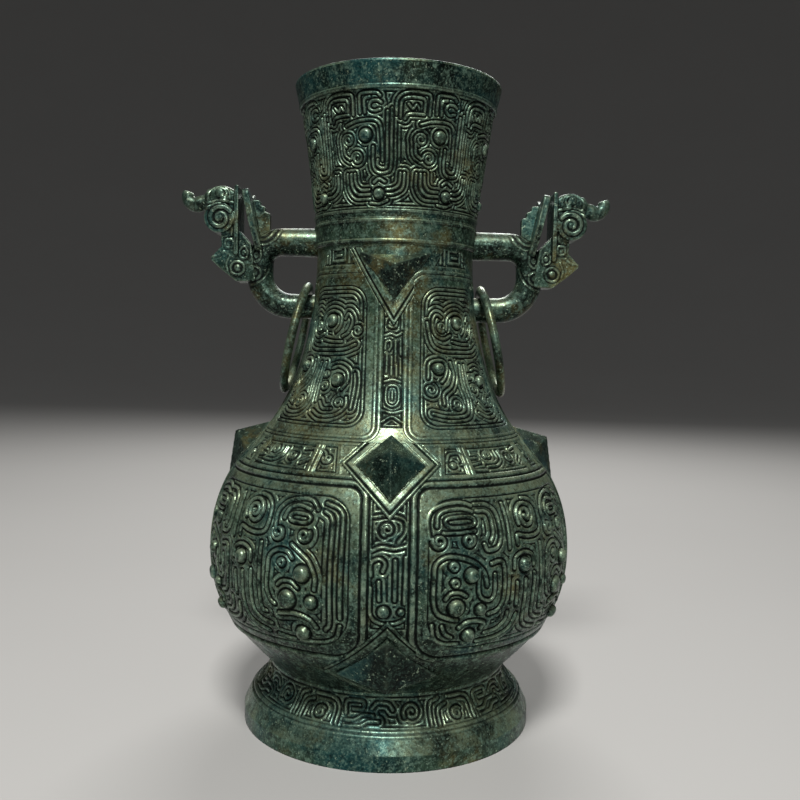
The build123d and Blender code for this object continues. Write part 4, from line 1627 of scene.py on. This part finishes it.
@dataclass
class Belly(PanelledSkin):
    """Round belly with four bold panels, upright straps and the shoulder register.

    Attributes:
        panel: How a panel is sunk and filled.
        strap: How the ornament of an upright strap is sunk and filled.
        strap_bottoms: Where that ornament ends over a keel boss, and where there is none.
        box: How the ornament of the shoulder register is sunk and filled.
        frame_ridge: The ridge of a frame.
        frame_grooves: The two grooves beside it.
        register_start: Where the ornament of the register starts beside a strap.
        register_rows: Where it starts and ends down the outline.
        divider: Angle from a strap at which the register is divided.
        divider_half: Half width of the plain post there.
        register_lines: The lines above and below the register.
        divider_post: The upright lines beside the divider.
        strap_post: The upright line beside a strap.
        post_middle: Middle of these two down the outline.
        post_reach: How far they run up and down from there.
        diamond: Half width and half length of a shoulder boss where it meets the skin.
        diamond_depth: Middle of that boss, down from the shoulder.
        diamond_frame: Frame round that boss.
        keel: Half width and the upper and lower heights of a keel boss.
        keel_depth: Place of its side corners, down from the shoulder.
        keel_frame: Frame round that boss.
    """

    step: float = 0.54
    bold: float = 0.9
    lift: float = 0.3
    start: float = 8.8
    frame_left: float = 14.2
    frame_top: float = 19.4
    frame_bottom: float = 149.0
    frame_corners: Point = (13.0, 24.0)
    band: float = 11.0
    field_corners: Point = (18.0, 28.0)
    strap_half: float = 12.2
    strap_top: float = 33.0
    panel: SunkField = SunkField(-1.15, 1.1, 3.9, -0.25, 0.8, 0.55)
    strap: SunkField = SunkField(-1.2, 0.9, 3.1, -0.3, 0.8)
    strap_bottoms: Point = (119.0, 138.0)
    box: SunkField = SunkField(-1.0, 0.8, 2.8, -0.2, 0.7)
    frame_ridge: Lines = Lines((1.7,), 1.7, 1.25)
    frame_grooves: Lines = Lines((-1.1, 4.7), 0.9, -0.75)
    register_start: float = 37.0
    register_rows: Point = (-7.6, 14.6)
    divider: float = 28.5
    divider_half: float = 3.4
    register_lines: Lines = Lines((-9.6, 16.4), 1.2, 0.5)
    divider_post: Lines = Lines((1.4,), 1.0, 0.45)
    strap_post: Lines = Lines((34.6,), 1.0, 0.45)
    post_middle: float = 3.5
    post_reach: float = 11.4
    diamond: Point = (23.5, 27.0)
    diamond_depth: float = 6.2
    diamond_frame: BossFrame = BossFrame(0.5)
    keel: Place = (34.0, 38.0, 26.0)
    keel_depth: float = 163.0
    keel_frame: BossFrame = BossFrame(0.4)

    def relief(self, meridian: Meridian, kind: StrapKind) -> ReliefSheet:
        """Draw one panel, one strap and one crossing of the shoulder register.

        Args:
            meridian: Outline of the belly.
            kind: What the strap carries.

        Returns:
            The finished sheet.
        """
        sheet = self.blank(meridian, self.start, QUARTER, -self.sizes.seam)
        sheet.engrave(self.inset(sheet, self.band, self.field_corners), self.panel, BELLY_PANEL)
        framed = self.inset(sheet, 0.0, self.frame_corners)
        self.frame_ridge.lay(sheet, framed)
        self.frame_grooves.lay(sheet, framed)
        over_keel, to_end = self.strap_bottoms
        self.draw_strap(sheet, self.strap, BELLY_STRAP, over_keel if kind is StrapKind.FACETED else to_end)
        self.register(sheet)
        half, length = self.diamond
        margin = kite_margin(sheet.across, sheet.down - self.diamond_depth, half, length, length)
        self.diamond_frame.lay(sheet, margin)
        if kind is StrapKind.FACETED:
            margin = kite_margin(sheet.across, sheet.down - self.keel_depth, *self.keel)
            self.keel_frame.lay(sheet, round_middle(sheet, margin))
        return sheet

    def register(self, sheet: ReliefSheet) -> None:
        """Draw the shoulder register between the crossings.

        Args:
            sheet: Where to draw.
        """
        across, down = sheet.across, sheet.down
        beside = np.abs(across / sheet.spread[:, None] - self.divider) * sheet.spread[:, None]
        first, last = self.register_rows
        sideways = np.minimum(across - self.register_start, beside - self.divider_half)
        inset = np.minimum(sideways, np.minimum(down - first, last - down))
        sheet.engrave(inset, self.box, SHOULDER_BOX)
        self.register_lines.lay(sheet, down)
        in_height = np.abs(down - self.post_middle) < self.post_reach
        self.divider_post.lay(sheet, np.where(in_height, beside, FAR))
        self.strap_post.lay(sheet, np.where(in_height, across, FAR))

    def build(self, finish: PatinaFinish, lining: PatinaFinish) -> list[Piece]:
        """Build the belly in eight pieces.

        Args:
            finish: Finish of the outside.
            lining: Finish of the inside.

        Returns:
            The pieces.
        """
        low, high = (corner.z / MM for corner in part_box("belly_shell"))
        _, _, shoulder = neck_sections(self.sizes)
        outline = np.vstack([shoulder, smooth_path(bare_outline("belly_shell", low, high, STRAP_BEARINGS))])
        meridian = Meridian.along([outline], self.step)
        made = self.round_pieces("belly_skin", meridian, outline)
        self.dress(made, finish, lining, len(meridian.radius), ["belly_shell"])
        return made


@dataclass
class Foot(RegisterSkin):
    """Spreading foot with a running register over a plain bevel and band.

    Attributes:
        turned: Angle at which the skin meets itself, at the back.
        foot_wall: Thickness of the wall at the base band.
        ledge: How far the ledge under the floor reaches in from the waist.
    """

    step: float = 0.7
    bold: float = 1.1
    lift: float = 0.1
    unit: float = 60.0
    units: int = 6
    field_top: float = 2.2
    field_bottom: float = 26.2
    sunk: SunkField = SunkField(-1.1, 0.9, 3.0, -0.2, 0.75)
    lines: tuple[Lines, ...] = (Lines((27.8, 31.0), 1.2, 0.6),)
    turned: float = 180.0
    foot_wall: float = 8.0
    ledge: float = 12.0

    def build(self, finish: PatinaFinish, lining: PatinaFinish) -> list[Piece]:
        """Build the foot in one piece.

        Args:
            finish: Finish of the outside.
            lining: Finish of the inside.

        Returns:
            The piece.
        """
        low, high = (corner.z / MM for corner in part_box("foot_ring"))
        wall, bevel_top = self.sizes.wall, self.sizes.bevel_top
        flare = smooth_path(skin_points("foot_ring", bevel_top, high))
        band = skin_points("foot_ring", low, bevel_top)
        edges = [band[row : row + 2] for row in range(len(band) - 1)]
        meridian = Meridian.along([flare, *edges], self.step)
        stand = band[-1, 0] - self.foot_wall
        waist = flare[0, 0]
        inner = [(stand, low), (stand, band[1, 1]), (band[0, 0] - wall, bevel_top)]
        inner += [(waist - wall, high - wall), (waist - self.ledge, high - wall), (waist - self.ledge, high)]
        sheet = self.relief(meridian, 0.0, FOOT_UNIT)
        made = self.pieces("foot_skin", meridian, np.array(inner), [sheet], self.units, self.turned)
        self.dress(made, finish, lining, len(meridian.radius), ["foot_ring"])
        return made


def dense_copy(node: str, name: str, voxel: float, rounds: int) -> Piece:
    """Copy a part as a dense mesh with softened edges.

    Args:
        node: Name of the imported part.
        name: Name of the new piece.
        voxel: Size of its faces, in millimetres.
        rounds: How often its surface is evened out.

    Returns:
        The new object, linked to the scene.
    """
    form = bpy.data.objects.new(f"{name}_form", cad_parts[node].data.copy())
    bpy.context.scene.collection.objects.link(form)
    grid = form.modifiers.new("grid", "REMESH")
    grid.mode = "VOXEL"
    grid.voxel_size = voxel * MM
    soft = form.modifiers.new("soft", "SMOOTH")
    soft.factor = 0.5
    soft.iterations = rounds
    shaped = form.evaluated_get(bpy.context.evaluated_depsgraph_get())
    mesh = bpy.data.meshes.new_from_object(shaped)
    bpy.data.objects.remove(form)
    mesh.materials.clear()
    mesh.shade_smooth()
    piece = bpy.data.objects.new(name, mesh)
    bpy.context.scene.collection.objects.link(piece)
    return piece


def push_out(piece: Piece, distance: Array) -> None:
    """Move the points of a mesh outward.

    Args:
        piece: The mesh object.
        distance: How far each point moves, in millimetres.
    """
    places, normals = mesh_points(piece)
    moved = (places + normals * distance[:, None]) * MM
    piece.data.vertices.foreach_set("co", moved.astype(np.float32).ravel())
    piece.data.update()


def store_wear_and_shade(piece: Piece, sharp: float) -> None:
    """Store on a dense mesh where its edges would be rubbed and lit by a painted highlight, and where dirt
    and painted shade would lie.

    Args:
        piece: The mesh object.
        sharp: Bulge, in millimetres, that counts as fully rubbed.
    """
    mesh = piece.data
    places, normals = mesh_points(piece)
    ends = np.empty(len(mesh.edges) * 2, np.int32)
    mesh.edges.foreach_get("vertices", ends)
    first, second = ends.reshape(-1, 2).T
    count = len(places)
    near = np.maximum(np.bincount(first, minlength=count) + np.bincount(second, minlength=count), 1)

    def averaged(values: Array) -> Array:
        """Mean of the values at the neighbours of each point."""
        total = np.bincount(first, values[second], count) + np.bincount(second, values[first], count)
        return total / near

    spread = places
    for _ in range(3):
        spread = np.column_stack([averaged(spread[:, axis]) for axis in range(3)])
    bulge = ((places - spread) * normals).sum(axis=1)
    for _ in range(2):
        bulge = (bulge + averaged(bulge)) / 2
    store_bulge(mesh, bulge / sharp)


@dataclass
class FacetedBosses:
    """Faceted bosses of the shoulder, neck and belly, with softened edges."""

    voxel: float = 0.8
    rounds: int = 4
    sharp: float = 0.45

    def build(self, finish: PatinaFinish) -> list[Piece]:
        """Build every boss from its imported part.

        Args:
            finish: Finish of the bosses.

        Returns:
            The pieces.
        """
        made = []
        for node in sorted(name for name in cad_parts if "_boss_" in name):
            piece = dense_copy(node, f"{node}_skin", self.voxel, self.rounds)
            store_wear_and_shade(piece, self.sharp)
            piece.data.materials.append(finish.material)
            settle(piece, VESSEL, finish.slot, [node])
            made.append(piece)
        return made


# Side of a beast head: out from the middle of the handle's upright, and down from its bend
HEAD_SIDE: tuple[Stroke, ...] = (
    *ridges(
        1.9, 0.5,
        ((20.6, -34), (20.6, -28.6), (26, -27.4)),
        ((28.4, -27), (29.6, -21.4), (34.4, -16.4)),
        ((26.6, -15.4), (30.4, -12.4), (35.6, -11.6)),
    ),
    Dome((29.6, -59.4), 3.2, 0.9),
    Spiral((29.6, -59.4), 6.2, 0.8, 160, Hand.CLOCKWISE, 1.8, 0.6),
    Spiral((29.2, -40.4), 11.0, 1.5, 215, Hand.CLOCKWISE, 3.3, 1.3),
    Dome((29.0, -41.0), 2.6, 1.3),
    Ridge(((20.4, -24.4), (25.4, -24.4), (25.4, -19), (20.6, -19)), 1.9, 0.6, True),
    Ridge(((8.4, -15.6), (11, -19.6), (14.4, -16.4), (13.4, -11.4), (9.4, -11)), 1.9, 0.7, True),
    Dome((11.2, -15), 1.9, 0.8),
    Ridge(((12, -6.4), (17.4, -8.2), (21.4, -4), (19.4, 1.2), (14, 1.6), (11, -2)), 2.0, 0.8, True),
    Dome((16.2, -3.2), 2.6, 1.0),
    Ridge(((21.6, -55.4), (23.4, -61.6), (28.6, -65.6), (35, -63.4), (38.6, -58)), 1.8, 0.5),
    Ridge(((22.4, -12), (24.6, -6), (23.6, -1)), 1.8, 0.5),
    Ridge(((19.4, -52.4), (26, -53.6), (33, -53.4), (39, -51.4)), 2.0, 0.7),
)

# Side of a handle arm, in the same measure
ARM_SIDE: tuple[Stroke, ...] = (
    *ridges(
        1.6, 0.5,
        ((-17, -33), (-13, -26.6), (-6.6, -22.6), (-0.6, -22.4)),
        ((-12.6, -34), (-9.4, -29), (-4.6, -26), (0.4, -25.8)),
        ((-8.4, -35), (-6, -31.6), (-2.6, -29.6), (1.4, -29.4)),
        ((-9.6, -8), (-6, 0.6), (0.6, 7.6), (8, 10)),
    ),
    Ridge(((0.4, -24), (4.4, -18.4), (5.6, -13), (2.4, -8.6), (-1.4, -11.6), (-1.6, -17.4)), 1.7, 0.6, True),
    Dome((1.9, -13.6), 2.2, 0.7),
    Ridge(((4.4, 4.6), (8.4, 1.4), (7.6, -3.6), (2.6, -5.2), (-1.4, -2), (-0.4, 3.2)), 1.7, 0.6, True),
    Dome((3.4, -0.4), 2.6, 0.7),
)


@dataclass
class Handle:
    """Loop handle with its arm, ear plate, crest and beast head.

    Attributes:
        side: Which side it stands on.
        reach: From the axis of the vessel to the upright of the arm.
        upper_level, lower_level: Levels of the upper and of the lower arm.
        upper_bend, lower_bend: Radii of their bends.
        upper_radius, lower_radius: Radii of the arm at its two ends.
        root: Where the ends lie, hidden in the wall of the neck.
        step: Distance between the points of the arm.
        voxels: Size of the faces of the ear plate, the crest and the head.
        rounds: How often the surface of these is evened out.
        sharp: Bulge that counts as fully rubbed.
        sheet_start: First place of the drawings, out from the upright and down from the bend.
        sheet_size, sheet_step: Their width and height, and the distance between their points.
        facing: How far a surface has to face sideways to carry a drawing, and over what share that eases in.
        trunk_start: Where the trunk starts, and over what distance its thickening sets in.
        trunk_under: Level of its underside, and over what height the thickening sets in.
        trunk_mean: Thickening all along it.
        trunk_tip, trunk_root: Where its ends swell more, over what distance, and by how much.
    """

    side: Side
    reach: float = 105.4
    upper_level: float = 370.7
    lower_level: float = 321.0
    upper_bend: float = 17.0
    lower_bend: float = 25.0
    upper_radius: float = 11.2
    lower_radius: float = 9.4
    root: float = 58.6
    step: float = 0.65
    voxels: Place = (0.6, 0.5, 0.45)
    rounds: int = 3
    sharp: float = 0.14
    sheet_start: Point = (-50.0, -75.0)
    sheet_size: float = 110.0
    sheet_step: float = 0.3
    facing: Point = (0.25, 0.4)
    trunk_start: Point = (36.0, 3.0)
    trunk_under: Point = (-46.0, 2.0)
    trunk_mean: float = 0.7
    trunk_tip: Place = (44.0, 4.0, 0.7)
    trunk_root: Place = (41.0, 3.0, 0.5)

    @property
    def bend_level(self) -> float:
        """Level halfway between the two arms."""
        return (self.upper_level + self.lower_level) / 2

    def path(self) -> Array:
        """Middle line of the arm from its upper root to its lower one.

        Returns:
            Rows of distance out and level.
        """
        quarter = np.radians(np.linspace(0.0, 90.0, 40))
        far, near = 1 - np.sin(quarter), 1 - np.cos(quarter)
        upper = (self.reach - self.upper_bend * far, self.upper_level - self.upper_bend * near)
        lower = (self.reach - self.lower_bend * near, self.lower_level + self.lower_bend * far)
        ends = [[(self.root, self.upper_level)], [(self.root, self.lower_level)]]
        return np.vstack([ends[0], np.column_stack(upper), np.column_stack(lower), ends[1]])

    def arm(self, finish: PatinaFinish) -> Piece:
        """Build the arm as a tapering bar with its leaf and scale relief.

        Args:
            finish: Its finish.

        Returns:
            The finished piece.
        """
        line = self.path()
        run = run_along(line)
        rows = int(run[-1] / self.step)
        even = np.linspace(0.0, run[-1], rows)
        out, level = np.interp(even, run, line[:, 0]), np.interp(even, run, line[:, 1])
        forward, rise = np.gradient(out), np.gradient(level)
        length = np.hypot(forward, rise)
        radius = self.upper_radius + (self.lower_radius - self.upper_radius) * even / run[-1]
        columns = int(2 * math.pi * self.upper_radius / self.step)
        turn = np.linspace(0.0, 2 * math.pi, columns, endpoint=False)[None, :]
        swell = radius[:, None] * np.cos(turn)
        x = out[:, None] - (rise / length)[:, None] * swell
        z = level[:, None] + (forward / length)[:, None] * swell
        y = radius[:, None] * np.sin(turn) * self.side.value
        points = np.stack([x * self.side.value, y, z], axis=-1).reshape(-1, 3)
        node = f"handle_arm_{self.side.word}"
        piece = make_mesh(f"{node}_skin", points, ring_faces(rows, columns))
        self.emboss(piece, ARM_SIDE)
        return self.finished(piece, node, finish)

    def measured(self, piece: Piece) -> tuple[Array, Array]:
        """Place of the points of a piece in the measure of the drawings.

        Args:
            piece: The mesh object.

        Returns:
            Distances out from the upright of the arm and down from its bend.
        """
        places, _ = mesh_points(piece)
        return np.abs(places[:, 0]) - self.reach, self.bend_level - places[:, 2]

    def emboss(self, piece: Piece, strokes: Sequence[Stroke]) -> None:
        """Raise a drawing on both sides of a piece of the handle.

        Args:
            piece: The mesh object.
            strokes: The drawing, out from the upright of the arm and down from its bend.
        """
        left, top = self.sheet_start
        rows = int(self.sheet_size / self.sheet_step)
        sheet = ReliefSheet(left, self.sheet_size, top, self.sheet_step, np.ones(rows))
        for stroke in strokes:
            stroke.draw(sheet)
        out, down = self.measured(piece)
        column = np.clip(np.round((out - left) / sheet.turn), 0, len(sheet.angles) - 1)
        row = np.clip(np.round((down - top) / sheet.step), 0, rows - 1)
        lift = sheet.height[row.astype(int), column.astype(int)]
        _, normals = mesh_points(piece)
        least, ease = self.facing
        push_out(piece, lift * smooth_step((np.abs(normals[:, 1]) - least) / ease))

    def swell_trunk(self, piece: Piece) -> None:
        """Thicken the trunk of a beast head, most at its root and its tip.

        Args:
            piece: The head.
        """
        out, down = self.measured(piece)
        on_trunk = smooth_step((out - self.trunk_start[0]) / self.trunk_start[1])
        on_trunk = on_trunk * smooth_step((self.trunk_under[0] - down) / self.trunk_under[1])
        at_tip = self.trunk_tip[2] * smooth_step((out - self.trunk_tip[0]) / self.trunk_tip[1])
        at_root = self.trunk_root[2] * smooth_step((self.trunk_root[0] - out) / self.trunk_root[1])
        push_out(piece, on_trunk * (self.trunk_mean + at_tip + at_root))

    def copy_of(self, part: str, finish: PatinaFinish, voxel: float) -> Piece:
        """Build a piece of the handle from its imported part.

        Args:
            part: Start of the part's name.
            finish: Its finish.
            voxel: Size of its faces.

        Returns:
            The finished piece.
        """
        node = f"{part}_{self.side.word}"
        piece = dense_copy(node, f"{node}_skin", voxel, self.rounds)
        if part == "beast_head":
            self.swell_trunk(piece)
            self.emboss(piece, HEAD_SIDE)
        return self.finished(piece, node, finish)

    def finished(self, piece: Piece, node: str, finish: PatinaFinish) -> Piece:
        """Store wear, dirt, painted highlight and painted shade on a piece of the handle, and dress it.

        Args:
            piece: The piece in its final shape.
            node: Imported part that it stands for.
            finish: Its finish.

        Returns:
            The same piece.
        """
        store_wear_and_shade(piece, self.sharp)
        piece.data.materials.append(finish.material)
        settle(piece, VESSEL, finish.slot, [node])
        return piece

    def build(self, finish: PatinaFinish) -> list[Piece]:
        """Build every piece of the handle.

        Args:
            finish: Finish of all of them.

        Returns:
            The pieces.
        """
        parts = zip(("ear_plate", "beast_crest", "beast_head"), self.voxels)
        return [self.arm(finish), *(self.copy_of(part, finish, voxel) for part, voxel in parts)]


@dataclass
class PlainParts:
    """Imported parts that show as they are: the rings, the floor and the tenons."""

    def build(self, ring: PatinaFinish, lining: PatinaFinish) -> list[Piece]:
        """Dress the parts.

        Args:
            ring: Finish of the drop rings.
            lining: Finish of the parts inside.

        Returns:
            The dressed parts.
        """
        made = []
        for node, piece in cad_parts.items():
            finish = ring if node.startswith("drop_ring") else lining
            if not piece.hide_render:
                piece.data.materials.clear()
                piece.data.materials.append(finish.material)
                made.append(piece)
        return made


@dataclass(frozen=True)
class Lamp:
    """Square soft light that faces the vessel."""

    name: str
    place: Place
    size: float
    power: float
    aim: Place = (0.0, 0.0, 0.25)

    def hang(self) -> None:
        """Add the light to the scene."""
        light = bpy.data.lights.new(self.name, "AREA")
        light.size = self.size
        light.energy = self.power
        holder = bpy.data.objects.new(self.name, light)
        holder.location = self.place
        direction = Vector(self.aim) - Vector(self.place)
        holder.rotation_euler = direction.to_track_quat("-Z", "Y").to_euler()
        bpy.context.scene.collection.objects.link(holder)


@dataclass(frozen=True)
class FloorFinish:
    """Pale matt floor."""

    name: str = "studio_floor"
    colour: Colour = linear(196, 194, 190)
    shade: float = 0.97
    patch: float = 900.0
    roughness: float = 0.8
    specular: float = 0.1

    def build(self) -> bpy.types.Material:
        """Make the material.

        Returns:
            The material, ready for the floor.
        """
        graph = Graph(self.name)
        sockets = graph.shader.inputs
        tone = graph.stretch(graph.noise(self.patch, 3.0, 0.0), 0.2, 0.8)
        darker = tuple(self.shade * channel for channel in self.colour)
        graph.join(graph.mix(tone, darker, self.colour), sockets["Base Color"])
        sockets["Roughness"].default_value = self.roughness
        sockets["Specular IOR Level"].default_value = self.specular
        return graph.material


@dataclass
class Studio:
    """Pale floor, soft light and the camera.

    The camera stands at a place in millimetres and looks down by its pitch and right by its yaw, in degrees.
    The floor is flat up to a radius in metres, and sweeps up beyond it, all round.
    """

    lens: float = 40.56
    sensor: float = 36.0
    place: Place = (0.0, -712.0, 288.0)
    pitch: float = 3.13
    yaw: float = 0.5
    roll: float = 1.24
    flat_radius: float = 4.0
    sweep_radius: float = 8.0
    sweep_angle: float = 70.0
    sweep_rows: int = 24
    sides: int = 96
    lamps: tuple[Lamp, ...] = (
        Lamp("key", (-0.1, -1.25, 2.0), 0.5, 43.0),
        Lamp("front", (0.1, -1.75, 0.85), 0.4, 4.5),
        Lamp("back", (0.2, 1.75, 1.8), 1.2, 28.0),
    )
    sky: Colour = (0.9, 0.92, 0.95)
    sky_strength: float = 0.06

    def backdrop(self) -> Piece:
        """Make the floor, a wide disc that sweeps up far away all round.

        Returns:
            The floor.
        """
        lean = np.linspace(0.0, math.radians(self.sweep_angle), self.sweep_rows)
        radius = np.concatenate([[MM], self.flat_radius + self.sweep_radius * np.sin(lean)])
        height = np.concatenate([[0.0], self.sweep_radius - self.sweep_radius * np.cos(lean)])
        turn = np.linspace(0.0, 2.0 * math.pi, self.sides, endpoint=False)
        level = np.repeat(height[:, None], self.sides, axis=1)
        points = np.stack([np.outer(radius, np.cos(turn)), np.outer(radius, np.sin(turn)), level], axis=-1)
        faces = ring_faces(len(radius), self.sides)[:, ::-1]
        piece = make_mesh("studio_floor", points.reshape(-1, 3) / MM, faces)
        piece.data.materials.append(FloorFinish().build())
        return piece

    def surroundings(self) -> None:
        """Light the scene a little from all round."""
        world = bpy.data.worlds.new("studio")
        world.use_nodes = True
        background = world.node_tree.nodes["Background"]
        background.inputs["Color"].default_value = (*self.sky, 1.0)
        background.inputs["Strength"].default_value = self.sky_strength
        bpy.context.scene.world = world

    def camera(self) -> None:
        """Set up the camera."""
        camera = bpy.data.objects.new("camera", bpy.data.cameras.new("camera"))
        camera.data.lens = self.lens
        camera.data.sensor_width = self.sensor
        camera.location = Vector(self.place) * MM
        tilt = Euler((math.radians(90.0 - self.pitch), 0.0, math.radians(-self.yaw))).to_matrix()
        turn = Matrix.Rotation(math.radians(self.roll), 3, "Z")
        camera.rotation_euler = (tilt @ turn).to_euler()
        bpy.context.scene.collection.objects.link(camera)
        bpy.context.scene.camera = camera

    def build(self) -> None:
        """Set up the floor, the lights, the surroundings and the camera."""
        self.backdrop()
        for lamp in self.lamps:
            lamp.hang()
        self.surroundings()
        bpy.context.scene.view_settings.view_transform = "Standard"
        self.camera()


def main() -> None:
    """Build the vessel piece by piece and set it in the studio."""
    logging.basicConfig(level=logging.INFO, format="%(name)s %(message)s")
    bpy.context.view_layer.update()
    sizes = BodySizes()
    body = PatinaFinish("body_bronze", "body_patina")
    boss = PatinaFinish(
        "boss_bronze",
        "body_patina",
        green=linear(45, 66, 55),
        dusty_and_lit=linear(66, 79, 63),
        bloom=linear(79, 106, 93),
        ochre_share=0.1,
        seed=8.0,
    )
    lining = PatinaFinish("inside_bronze", "inside_patina", seed=40.0)
    handle = PatinaFinish(
        "handle_bronze",
        "handle_patina",
        green=linear(58, 82, 67),
        dusty_and_lit=linear(119, 130, 106),
        bloom=linear(111, 141, 125),
        seed=15.0,
    )
    ring = PatinaFinish(
        "ring_bronze",
        "ring_patina",
        dark=linear(50, 66, 55),
        green=linear(119, 136, 111),
        ochre_share=0.7,
        seed=27.0,
    )
    made = MouthCollar(sizes).build(body, lining)
    made += Neck(sizes).build(body, lining)
    made += Belly(sizes).build(body, lining)
    made += Foot(sizes).build(body, lining)
    made += FacetedBosses().build(boss)
    for side in Side:
        made += Handle(side).build(handle)
    made += PlainParts().build(ring, lining)
    Studio().build()
    LOG.info("built %d pieces", len(made))


if __name__ == "__main__":
    main()
